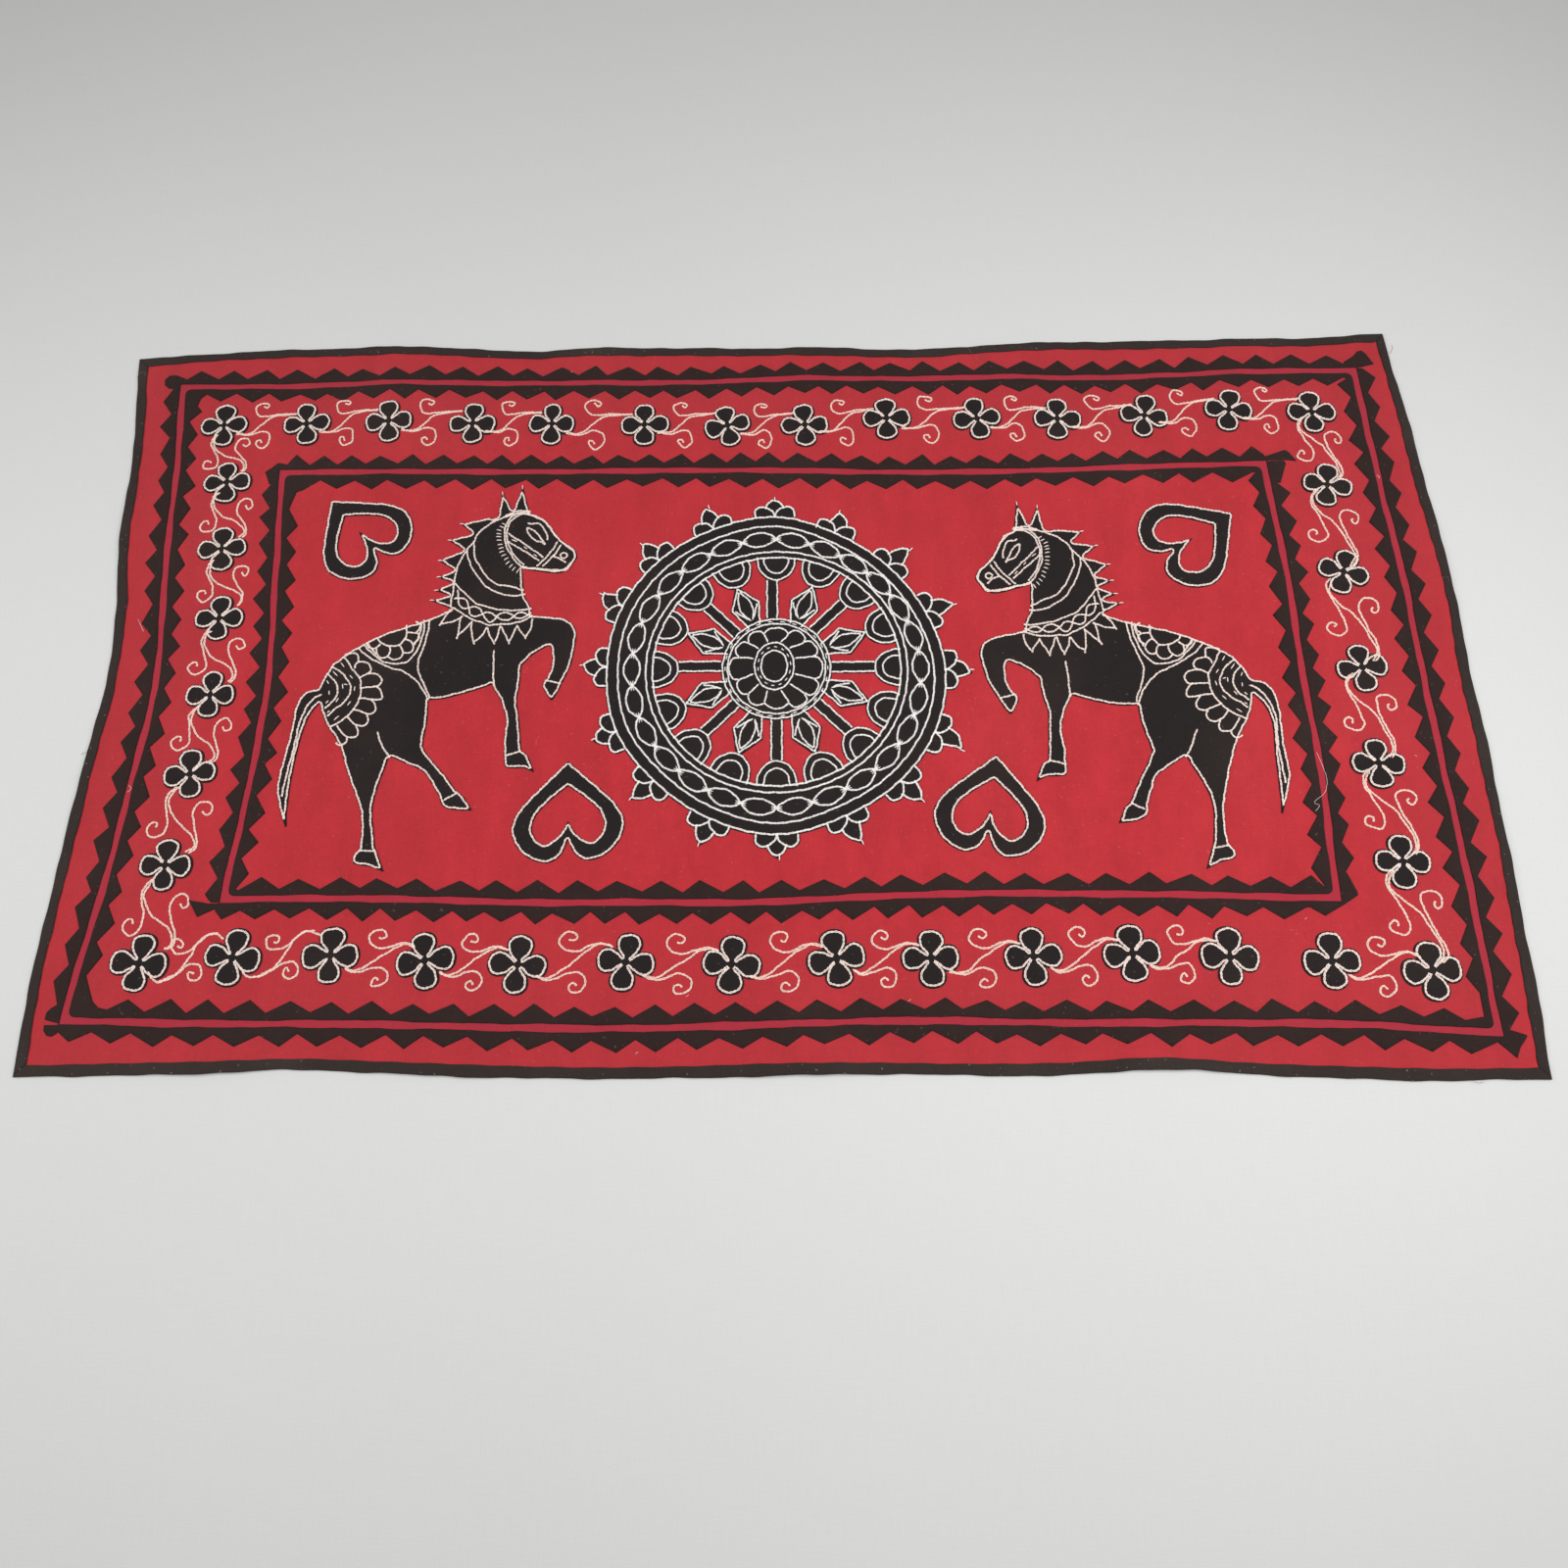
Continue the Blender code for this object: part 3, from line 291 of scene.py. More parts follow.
# Wheel, in radii from its middle. A leaf's foot, shoulder and tip draw in by their own shares of a
# margin. Each bud has its bearing and reach, the rim's radius there, and how far the spoke inside
# it lies to the left.
WHEEL_CENTRE = (12, 7.5)
RIM_INSIDE = 134.0
HUB_RADIUS = 61.0
BAR_HALF = 7.2
LOBE_HALF = 23.0
LOBE_REACH = 106.0
LEAF_BASE_HALF = 8.0
LEAF_SHOULDER_HALF = 18.0
LEAF_SHOULDER_AT = 82.0
LEAF_TIP_AT = 110.0
LEAF_TIP_HALF = 1.5
LEAF_MARGINS = (3, 1.2, 2.2)
RIM_OVERLAP = 14.0

# A bud: half a scallop at its foot, as distance beyond the rim and aside, each with its share of
# the margin at which a line is sewn; and the foot, belly and tip of its petal
BUD_SCALLOP = (
    (-1, 1, 24, 1), (7.5, 0, 23.5, 1), (13, 1, 15, 0), (10.5, 1, 6.5, 0), (3, 0, 1.2, 0), (-2.5, 0, 0.2, 0),
)
BUD_SCALLOP_PAST = 12.0
BUD_FOOT_IN = 3
BUD_FOOT_HALF = 10.5
BUD_BELLY_IN = 1
BUD_BELLY_HALF = 8.2
BUD_BELLY_MARGIN = 0.8
BUD_TIP_MARGIN = 1.6
BUD_LEAN = 0.5
BUDS = rows_of(
    Bud, (91, 213, 190, 4.6), (69, 208, 181, 0), (44, 211, 178, 2.4), (21, 213, 180, 1), (-2, 214, 186, 0.7),
    (-26, 222, 188, 0.5), (-45, 218, 187, 2), (-66, 218, 186, 1), (-90, 215, 191, 0), (-112, 216, 187, 0),
    (-136, 215, 185, -2.5), (-157, 214, 189, 0), (-182, 215, 188, -3), (-206, 218, 190, -2),
    (-226, 219, 190, 1.5), (-248, 218, 189, 3),
)

# One horse facing right, from the middle of its length and height. The other is the same
# pattern turned over. Slips are where its cutting strays from the pattern: place on the panel,
# and how far it strays there, which fades over SLIP_FADE.
SLIP_FADE = 42.0
SLIP_HOLD = 0.12
HORSES = {
    "left": Placed(-365, 10, 0.0, 1.0, False, ()),
    "right": Placed(394, -3, 6.0, 0.985, True, rows_of(
        Slip, (240, 132, 6, -1), (232, 118, 4, -3), (250, 99, 0, -4), (289, 214, -2, -6), (312, 208, -2, -1),
        (374, 67, 0, 1), (299, -9, 0, 0), (367, -33, 0, -3), (408, -92, 2, -2), (508, -57, 12, 0),
        (527, -12, 8, -1), (558, -107, -6, 0), (551, -163, -14, 0), (467, -163, 9, 0), (463, -217, 5, 1),
        (387, -133, 8, -3), (370, -162, 16, -8), (313, -73, 1, 2), (305, -127, -6, 9), (267, -40, -7, 7),
        (258, -7, -4, 2),
    )),
}
TRUNK = rows_of(
    Across, (-124, -18, -24), (-117, 0, -36), (-105, 15, -44), (-85, 30, -46), (-60, 44, -44), (-35, 53, -40),
    (-10, 62, -36), (15, 73, -34), (40, 70, -27), (65, 65, -18), (85, 65, -8), (103, 65, 12),
)
HAUNCH = rows_of(
    Level, (10, -112, -6), (-20, -124, -5), (-36, -122, -3), (-60, -113, -2), (-80, -99, -4), (-92, -92, -7),
    (-102, -89, -38),
)
HIND_LEG = rows_of(
    Level, (-92, -92, -30), (-101, -88, -39), (-112, -85, -42), (-135, -75, -48), (-160, -64, -51),
    (-185, -60, -47), (-205, -60, -43),
)
HIND_HOOF = rows_of(
    Pair, (-60, -203, -43, -203), (-65, -210, -38, -214), (-64, -219, -35, -221), (-48, -222, -32, -228),
)
STEPPING_LEG = rows_of(
    Pair, (-39, -100, -6, -88), (-20, -109, 5, -103), (-1, -118, 17, -116), (9, -131, 27, -128),
    (20, -148, 37, -141),
)
STEPPING_HOOF = rows_of(
    Pair, (19, -146, 36, -140), (22, -155, 44, -146), (29, -160, 49, -153), (43, -162, 55, -162),
)
FORE_LEG = rows_of(
    Level, (14, 64, 96), (-18, 66, 96), (-36, 76, 94), (-60, 84, 98), (-82, 83, 101), (-99, 85, 103),
)
FORE_HOOF = rows_of(
    Pair, (84, -97, 103, -96), (86, -111, 108, -99), (91, -115, 113, -107), (107, -115, 118, -120),
)
RAISED_LEG = rows_of(
    Pair, (90, 4, 100, 65), (104, 14, 133, 62), (118, 24, 148, 56), (127, 27, 155, 43), (130, 12, 154, 25),
    (129, -2, 151, 5), (124, -14, 143, -16),
)
RAISED_HOOF = rows_of(
    Pair, (124, -12, 140, -12), (121, -20, 142, -17), (125, -28, 138, -28), (131, -37, 133, -37),
)
NECK = rows_of(
    Level, (60, 13, 103), (75, 13, 102), (90, 14, 94), (110, 15, 91), (124, 17, 89), (148, 25, 84),
    (168, 34, 80), (183, 46, 80), (191, 58, 80),
)
HEAD = rows_of(
    Pair, (60, 190, 62, 160), (80, 196, 67, 147), (97, 193, 74, 136), (113, 184, 90, 124),
    (125, 168, 110, 120), (136, 156, 122, 118), (146, 149, 133, 118), (151, 140, 141, 122),
    (150, 135, 146, 129),
)
EARS = rows_of(
    Spike, (57, 188, 60, 223, 76, 194), (73, 194, 83, 231, 94, 192),
)
EAR_ROOT = (0, -12)
MANE = rows_of(
    Spike, (50, 190, 15, 182, 34, 166), (34, 170, 3, 161, 25, 146), (26, 150, -6, 135, 17, 120),
    (17, 124, -6, 114, 15, 106), (16, 108, -7, 97, 14, 90), (15, 92, -11, 85, 14, 74),
)
TAIL = rows_of(
    Pair, (-120, -20, -120, -36), (-139, -26, -130, -50), (-147, -42, -136, -70), (-149, -72, -140, -100),
    (-154, -108, -142, -130), (-156, -135, -142, -152), (-150, -158, -142, -164), (-142, -178, -140, -178),
)
MANE_ROOT = (12, 0)

# Wrinkles that show in the photo, and areas of smaller ones with the range of their sizes
PUCKER_SEED = 41
PUCKER_LONG = (26, 80)
PUCKER_WIDE = (7, 15)
PUCKER_SHARES = (0.4, 1.0)
PUCKERS = rows_of(
    Fold, (430, -70, 48, 90, 15, 0.9), (395, -150, 52, 110, 17, 1.0), (330, -175, 40, 70, 13, 0.7),
    (300, -60, 60, 80, 15, 0.7), (-505, -40, 75, 70, 14, 0.7), (-160, 215, 25, 80, 14, 0.6),
    (150, 222, -15, 90, 14, 0.6), (-220, -190, -30, 70, 13, 0.6),
)
PUCKER_AREAS = rows_of(
    Area, (370, -120, 150, 110, 50, 14, 14, 0.75), (0, -322, 640, 45, 88, 16, 46, 0.55),
    (0, 325, 640, 40, 90, 22, 34, 0.45), (-615, 0, 45, 230, 5, 22, 14, 0.55),
    (650, 0, 45, 220, 0, 22, 14, 0.5), (-330, 20, 210, 190, 60, 40, 22, 0.4),
    (0, 0, 540, 230, 40, 60, 30, 0.35), (0, 415, 740, 12, 90, 12, 44, 0.5),
    (0, -418, 740, 12, 90, 12, 44, 0.55),
)

# The hand-cut straight edges: lengths and sizes of their waves, the range of shares of those sizes,
# and how far the waves keep from corners
WAVER_WAVES = ((190.0, 0.45), (83.0, 0.55), (47.0, 0.3), (23.0, 0.18))
WAVER_SHARES = (0.6, 1.0)
WAVER_CLEAR = 16.0

# Mesh steps
RIM_STEPS = 180
HUB_STEPS = 72
LOBE_STEPS = 16
BEND_STEPS = 6
BINDING_STEP = 5.0

# Section of a folded binding: distance in from the panel's edge, and height
BINDING_FOLD = (
    (9.6, -1.3), (5.0, -1.3), (0.2, -1.3), (-0.8, -1.0), (-1.25, -0.3), (-1.3, 0.6), (-1.1, 1.45),
    (-0.4, 2.0), (0.8, 2.25), (3.0, 2.3), (6.5, 2.35), (8.8, 2.28), (9.8, 1.9), (10.0, 1.4), (9.6, 1.08),
    (5.0, 1.12), (-0.1, 1.15), (-0.35, 0.4), (-0.1, -0.35), (9.6, -0.4),
)
BINDING_CREST = 10
BINDING_DROP = 6.0

# Its inner edge strays in slow waves from this far in, and its top flutters from this height up.
# Both are given by their turns along a side and their size, and the ravelled edge by lengths.
# Each wave starts somewhere in the first WAVE_START radians.
BINDING_SEED = 31
WAVE_START = 6
STRAY_FROM = 6
STRAY_TURNS = (3, 7, 13, 22, 37)
STRAY_SIZE = 0.35
FLUTTER_FROM = 1.5
FLUTTER_TURNS = (19, 31, 53, 71)
FLUTTER_SIZE = 0.1
FRAY_WAVES = ((48.0, 0.5), (21.0, 0.45), (9.0, 0.35), (5.1, 0.2))
FRAY_SHARES = (0.7, 1.2)
FRAY_CLEAR = 30.0

# How far in the panel lies raised on the fold of its binding, and over what distance it sinks
RIM_FLAT = 10.5
RIM_FADE = 8.0

# Cut cloth: the edge and grid steps of its meshes, the edge step of a line that is sewn along it,
# the depths of two rows of points along its edge and what share of a depth they keep everywhere,
# how far its grid keeps clear of the edge, and over what distance it swells to its fullness
STRIP_STEPS = (6.0, 9.0)
FLOWER_STEPS = (3.4, 6.5)
HEART_STEPS = (4.0, 6.0)
LARGE_STEPS = (4.0, 7.0)
SEWN_EDGE_STEP = 2.0
EDGE_ROWS = (0.9, 2.6)
INSET_KEEPS = 0.92
GRID_CLEAR = 3.8
FULL_OVER = 5

# Each frame's seed, and what its strips add to it
FRAME_SEEDS = {"outer": 11, "inner": 23}
SQUARE_SEED = 40
BUTTING_SEED = 50
INSIDE_SEED = 60

# Seeds of the threads, and of the flowers: one row after another
FLOWER_THREAD_SEED = 100
FLOWER_ROW_SEED = 1000
TENDRIL_SEED = 140
HEART_SEED = 150
WHEEL_RIM_SEED = 160
WHEEL_HUB_SEED = 161
HORSE_SEED = 170
RED_YARN_SEED = 180
DARK_YARN_SEED = 181
LINT_SEED = 182
PALE_END_SEED = 183

# Chain stitch: a loop's outline in shares of its length and half width, its rise, its length in
# stitches, and how far loops stray in place, length, width and thickness
LOOP_SHAPE = np.array(((0, 0), (0.34, 0.74), (0.8, 1), (1.0, 0), (0.8, -1), (0.34, -0.74)))
LOOP_RISE = np.array((-0.2, 0.3, 0.45, 0.3, 0.45, 0.3))
LOOP_LONG = 1.22
LOOP_SLIP = 0.06
LOOP_LONG_SLIP = 0.05
LOOP_WIDE_SLIP = 0.14
LOOP_ASIDE = 0.07
STRAND_SLIP = (-0.08, 0.1)

# Section of a strand: the bearings of its corners, and how flat it is pressed
STRAND_ANGLES = (40, 140, 230, 310)
STRAND_PRESSED = 0.8

# A straight stitch: its stations, their rise and fullness, its thickness and how far it strays
STRAIGHT_SHARES = (0, 0.33, 0.67, 1)
STRAIGHT_RISE = np.array((-0.2, 0.5, 0.5, -0.2))
STRAIGHT_FULL = np.array((0.5, 1, 1, 0.5))
STRAIGHT_THICK = 1.25
STRAIGHT_ASIDE = 0.08

# How far in from a cut edge its line is sewn, and how thick each piece's thread is
EDGE_LINE = 1.8
WHEEL_THREAD = 1.05
HUB_THREAD = 0.92
FLOWER_THREAD = 1.05
HORSE_THREAD = 0.95

# How far ahead and behind a line is read for its direction
AIM_REACH = 0.6

# Lengths and sizes of the waves in which a sewn line strays
HAND_WAVES = ((23.0, 0.2), (13.7, 0.2), (8.3, 0.14))

# Flowers: half a petal in shares of its reach
PETAL_HALF = rows_of(
    Half, (0.135, 0.085), (0.21, 0.155), (0.3, 0.232), (0.42, 0.318), (0.54, 0.365), (0.68, 0.375),
    (0.80, 0.325), (0.89, 0.21), (0.935, 0),
)
PETAL_COUNT = 4
NOTCH_AT = 0.155
HUB_OF_FLOWER = 6.0
HUB_OF_FLOWER_STEP = 30

# How far the petals differ from each other in lean, width and length, and their margin of cloth
PETAL_LEAN = 1.6
PETAL_WIDE_SLIP = 0.04
PETAL_LONG_SLIP = 0.02
PETAL_MARGIN = 2.3
PETAL_MARGIN_SLIP = 0.6

# Tendrils, each for a gap between two flowers, from the first flower's middle
TENDRILS = {
    "top": Motif(
        100.0,
        ((15.7, -10.6), (28, -11.5), (37, -7.2), (52.7, 8.6), (64, 13), (86, 15.8)),
        (
            (15.7, -12), (33.6, -12.4), (46, -7.4), (55, -10), (58, -18.7), (56, -27), (49, -31.6),
            (42.6, -27), (41.5, -21.5), (46, -20), (48, -24.4),
        ),
        (
            (86, 15.8), (64, 15.4), (43.7, 12.4), (35.9, 18.7), (34.8, 27.3), (41.5, 31.6), (50.4, 28.7),
            (48.2, 24.4), (44.2, 27.3),
        ),
    ),
    "left": Motif(
        88.0,
        (
            (13, -7), (18, -12), (28, -14), (38, -9), (46, -1), (51, 8), (56, 16), (62, 21), (69, 22.5),
            (74, 17),
        ),
        (
            (13, -9), (18, -14), (26, -17), (35, -14.5), (45, -10.5), (54, -9.5), (60.5, -12), (64, -19),
            (61, -26), (55, -27.5), (50, -24), (50, -19), (54, -18.5),
        ),
        (
            (75, 19), (70, 24.5), (61, 24), (53, 20), (44, 15.5), (35, 13), (28, 16), (24.5, 22), (27, 29),
            (34, 31), (37.5, 26), (33.5, 22.5),
        ),
    ),
    "right": Motif(
        109.0,
        (
            (7, -11), (14, -16.5), (24, -18.5), (31, -14), (38, -8), (45, -1), (52, 5), (60, 9), (69, 13),
            (79, 16.5), (88, 19), (95, 18.5), (102, 13),
        ),
        (
            (7, -13.5), (14, -19), (25, -20.5), (34, -16), (44, -12), (53, -9), (61, -7), (68, -8.5),
            (72, -14), (71, -21), (66, -27), (60, -27), (57, -22), (60, -18), (63, -20),
        ),
        (
            (103, 15.5), (96, 21), (88, 22.5), (79, 20), (69, 16.5), (59, 13), (49, 10.5), (40, 9.5),
            (34, 12), (31.5, 18), (33, 26), (39, 30), (46, 28.5), (48.5, 23.5), (44.5, 20.5), (42, 23),
        ),
    ),
    "bottom_start": Motif(
        95.0,
        (
            (9.6, -9), (14, -17), (20.5, -20), (29.2, -17.7), (40, -12), (46.6, -2.5), (52, 6), (58.5, 17),
            (64, 22.5), (70.5, 25), (77, 24), (83.5, 19.2),
        ),
        (
            (20.5, -20), (29, -19.2), (40, -13.5), (49, -5.8), (56.3, -4.7), (62, -7.3), (64.4, -13.4),
            (63, -20), (57.4, -22), (52, -19.5), (50.5, -14.5), (53, -11.7), (55.7, -14.5),
        ),
        (
            (77, 25), (67, 24), (60, 17.5), (52, 11.6), (46.6, 8.3), (40, 7), (34, 8.3), (30.7, 13.8),
            (31.3, 19.2), (35.7, 21.8), (41, 21), (43, 16.6), (40.7, 13.3), (38, 15),
        ),
    ),
    "bottom": Motif(
        95.0,
        ((16, -11), (25, -14), (35, -10.5), (45, -2), (55, 6), (63, 12), (73, 16), (83, 13.5)),
        (
            (16, -12), (25, -15.5), (35, -13.8), (45, -10), (54, -9.5), (59, -15), (59, -23), (53, -28),
            (46, -27), (45, -22), (49, -19), (52, -22),
        ),
        (
            (83, 14), (73, 17), (63, 14.6), (53, 10.4), (43, 11), (37, 16), (36, 22), (41, 28), (48, 28.5),
            (52, 24), (49, 20), (45, 21),
        ),
    ),
}
BOTTOM_START_GAPS = 2
TENDRIL_LEAN = 0.9
TENDRIL_SLIP = 0.5
UNJOINED = ("bottom", 11)

# Wheel embroidery, in radii from its middle
RIM_LINE_IN = 2.0
RIM_SECOND_LINE_IN = 14.2
INNER_LINE_OUT = 1.8
INNER_SECOND_LINE_OUT = 9.2
LENS_COUNT = 26
LENS_START = 90.0
LENS_HALF = 9.0
LENS_MIDDLE_IN = 2.4
LENS_TAIL_LEAN = 15.0
LENS_TAIL_HALF = 7.5
LENS_FULLNESS = 0.75
LENS_STEPS = 360
BUD_TIP_LINE = (-4.0, 2.0)
BUD_TIP_LEAN = 0.5
INNER_LOBE_HALF = 14.0
INNER_LOBE_REACH = 116.0
LEAF_LINES = {"left_facet": ((66, 3.0), (80.5, 13.0)), "right_facet": ((66, -3.0), (80.5, -13.0))}
LEAF_VEIN = ((64, 0.8), (72, 5.4), (82, 7.0), (92, 5.0), (101, 0.6))
HUB_LINES = (59.0, 53.6)
HUB_DASHES = 26
HUB_DASH_SHARE = 0.22
HUB_EYE = (9.6, 10.0)
HUB_PETAL_HALVES = (18.0, 13.5, 13.5)
HUB_WALL_END = 43.0
HUB_PETAL_REACH = 50.0
HUB_OVALS = ((21.5, 28.0), (14.5, 18.5))
EYE_DASHES = 14
EYE_DASH_START = 8
EYE_DASH_HALF = 7.0
HUB_LINE_STEPS = 90
HUB_PETAL_SLIP = 0.9
HUB_PETAL_FOOT = 0.98
HUB_PETAL_SHAPE = ((3, 0.8), (0.4, 0.4), (0, 0))
HUB_WALL_START = 2.0
OVAL_STEP = 6
BAR_LINE_OUT = 0.3
LINE_PITCH = 2.0

# Horse embroidery, in the plan of the horse's pattern
HORSE_LINES = {
    "crest": (
        (75, 195), (65, 190), (55, 185), (47, 180), (40, 173), (35, 167), (32, 158), (25, 148), (20, 138),
        (15, 122), (14, 105), (13, 90), (12, 78),
    ),
    "neck_outer": (
        (32, 160), (33, 150), (34, 140), (38, 132), (44, 122), (50, 114), (57, 107), (65, 103), (77, 101),
        (93, 96),
    ),
    "neck_inner": (
        (25, 148), (27, 138), (31, 128), (37, 118), (45, 107), (53, 99), (65, 93), (80, 89), (95, 91),
    ),
    "collar_upper": (
        (14, 106), (20, 100), (27, 93), (35, 85), (43, 79), (53, 76), (65, 72.5), (80, 71), (95, 71.5),
        (103, 73),
    ),
    "collar_lower": (
        (15, 76), (23, 70), (30, 65), (39, 60), (50, 56), (57, 53), (65, 54), (75, 54), (85, 55.5), (95, 58),
        (103, 63),
    ),
    "collar_wave": (
        (19, 98), (20, 87), (22, 78), (29, 74), (35, 75), (40, 76), (46, 73), (50, 66), (53, 60), (58, 57),
        (63, 60), (66, 65), (71, 68), (77, 68), (82, 66), (85, 62), (91, 61), (97, 63), (103, 68),
    ),
    "collar_second_wave": (
        (15, 86), (20, 87), (27, 86), (31, 82), (33, 74), (35, 67), (41, 64), (47, 66), (52, 68.5),
        (58, 68.5), (63, 65), (68, 61), (74, 59), (80, 60), (84, 64), (89, 67.5), (95, 68), (101, 65),
        (105, 64),
    ),
    "brow_band": ((65, 191), (75, 196), (85, 198), (93, 197)),
    "head_ring": (
        (95, 197), (84, 196), (75, 191.5), (69, 184), (66.5, 172), (67.5, 160), (71, 149), (77, 139),
        (83, 131), (90, 125),
    ),
    "head_ring_row": (
        (95, 194.5), (85, 193.6), (77.5, 189.5), (71.5, 182), (69, 171), (70, 161), (73.3, 150.5), (79, 141),
        (85, 133.5), (91, 128),
    ),
    "brow_muzzle": (
        (65, 190), (75, 193), (85, 194.5), (95, 192), (108, 187), (118, 176), (127, 162), (137, 153),
        (146, 145), (149, 137),
    ),
    "jaw": ((149, 137), (144, 127), (139, 121), (125, 121), (107, 123), (90, 124)),
    "upper_strap": ((69.7, 169), (91, 154), (112.6, 137.4)),
    "lower_strap": ((69.7, 158.5), (90, 146), (108, 133)),
    "nose_band": ((128, 157.4), (119, 141), (106, 126)),
    "nose_band_row": ((132.6, 153.8), (124, 139), (112.6, 126)),
    "mouth": ((122, 138.5), (131, 135.5), (138.5, 130.3)),
    "eye_upper": ((91, 176), (99, 172.6), (105.6, 165.6), (110.3, 159.7), (113.6, 153.8)),
    "eye_lower": ((91, 176), (93.8, 169), (98.5, 162), (104.4, 158), (109, 157), (113.6, 153.8)),
    "eyebrow": ((92, 182.6), (96, 180.3), (105.6, 181), (110.3, 175), (115, 166.8), (116, 159.7)),
    "saddle_outer": (
        (-81, 32), (-75, 25), (-67, 18), (-60, 12), (-50, 8), (-40, 7.5), (-30, 10), (-24, 17), (-19, 27),
        (-16, 40), (-15, 52), (-16, 60),
    ),
    "saddle_row": ((-77, 34), (-73, 28), (-65.5, 19.5)),
    "saddle_front_row": ((-18.5, 59), (-18.5, 50), (-20.5, 40), (-23.5, 30)),
    "saddle_inner": (
        (-66, 39), (-63, 34), (-58, 31), (-50, 29), (-42, 29.5), (-38, 33), (-35, 38), (-34, 45), (-35, 54),
    ),
    "girth": (
        (-10, 62), (-10, 50), (-12, 35), (-15, 22), (-18, 10), (-17, 0), (-13, -10), (-9, -18), (-5, -25),
        (-2, -32),
    ),
    "haunch": (
        (-87, 28), (-80, 21), (-72, 15), (-63, 10), (-53, 5), (-43, 1), (-35, -1), (-27, -6), (-19, -12),
        (-13, -19), (-7, -28), (-3, -36),
    ),
    "rump_outer": (
        (-118, -3), (-110, -10), (-105, -17), (-103, -25), (-105, -33), (-110, -39.5), (-114.5, -45),
    ),
    "rump_middle": (
        (-114, 5), (-105, 0), (-97, -7), (-91, -16), (-89, -24), (-91, -32), (-97, -40), (-105, -47),
        (-111, -53.5),
    ),
    "rump_inner": (
        (-101, 17), (-90, 2), (-81, -9), (-78, -20), (-78, -32), (-81, -42), (-87, -51), (-95, -59.5),
        (-106, -66),
    ),
    "fore_crease": ((65, 23), (66, 0), (68, -20)),
    "hind_crease": ((-55, -72), (-47, -90), (-38, -102)),
    "hind_hoof": ((-61, -205), (-43, -206)),
    "stepping_hoof": ((24, -151), (37, -143)),
    "fore_hoof": ((86, -102), (102, -96)),
    "raised_hoof": ((123, -14), (141, -18)),
    "tail_inner": ((-120, -28), (-131, -36), (-140, -60), (-143, -90), (-147, -120), (-149, -145)),
}
NOSTRIL = ((140, 139.5), (136, 143.5), (132, 139.5), (136, 135.5))
HORSE_PETALS = (
    ((-76, 34), (-76, 29), (-71, 26), (-66, 27), (-62, 31)),
    ((-66, 27), (-65, 20), (-60, 15), (-55, 15), (-51, 19), (-50, 25), (-52, 29)),
    ((-53, 17), (-49, 14), (-44, 12), (-39, 14), (-36, 19), (-37, 25), (-41, 30)),
    ((-36, 21), (-31, 20), (-26, 23), (-25, 29), (-28, 34), (-36, 38)),
    ((-26, 32), (-21, 35), (-20, 42), (-24, 45), (-33, 45)),
    ((-24, 45), (-20, 49), (-20, 55), (-25, 58)),
    ((-101, 18), (-93, 21), (-87, 20), (-84.5, 14), (-84, 10)),
    ((-88, 2), (-87, 7), (-84, 10), (-78, 10), (-72, 7), (-69, 2), (-70, -2), (-73, -4), (-81, -9)),
    ((-73, -4), (-65, -4), (-59, -7), (-56, -13), (-58, -18), (-63, -19.5), (-78, -21)),
    ((-63, -19.5), (-58, -22), (-54, -28), (-54, -34), (-60, -35), (-78, -33)),
    ((-66, -34.5), (-62, -38), (-59, -44), (-61, -50), (-66, -52), (-72, -50), (-83, -46)),
    ((-69, -51.5), (-66, -58), (-68, -64), (-73, -66), (-79, -64), (-84, -60), (-89, -55)),
    ((-79, -64), (-76, -70), (-76, -76), (-81, -79), (-87, -78), (-93, -73), (-99, -65)),
    ((-87, -78), (-87, -83), (-90.5, -87), (-95, -87.5), (-98, -85)),
)
COLLAR_POINTS = (
    ((13, 74), (7, 64), (2, 53)), ((2, 55), (13, 57), (20, 60), (27, 64)),
    ((25, 65), (24, 55), (24, 45), (22, 37)), ((23, 40), (31, 49), (38, 58)),
    ((37, 58), (38, 48), (40, 38), (42, 30)), ((42, 33), (49, 39), (55, 50)),
    ((56, 51), (57, 44), (61, 37), (65, 30)), ((65, 32), (68, 42), (70, 52)),
    ((71, 52), (74, 45), (78, 38), (81, 30)), ((81, 32), (84, 40), (89, 52)),
    ((88, 53), (92, 46), (97, 41), (99, 36)), ((99, 38), (104, 48), (105, 60)),
)
FRINGE = (
    (61.5, 182.6), (59, 178.5), (56, 174), (56, 169), (56, 165), (57, 160), (58.5, 154), (60, 149), (61, 144),
    (64, 139), (67.4, 134), (69.7, 128.5), (74, 124), (78, 120), (83, 117),
)
FRINGE_AIM = (105, 160)
FRINGE_LONG = 7.5
RUMP_DASHES = (
    (-117, -11, -114, -16), (-113, -23, -112, -29), (-112, -35, -115, -39), (-112, 0, -105, -7),
    (-99, -15, -98, -22), (-98, -16, -93, -17), (-101, -32, -104, -38), (-109, -47, -112, -50),
    (-104, 10, -99, 4), (-93, -5, -88, -10), (-85, -18, -85, -25), (-87, -36, -91, -42),
    (-98, -53, -104, -59),
)
STRAP_DASHES = ((74, 161, 82, 157.5), (89, 152, 94, 148), (101, 142, 106, 138))

# A stitch over the tip of a lock or an ear: how far it reaches in, and out past the tip
SPIKE_TIP_IN = 4.2
SPIKE_TIP_OUT = 1.5

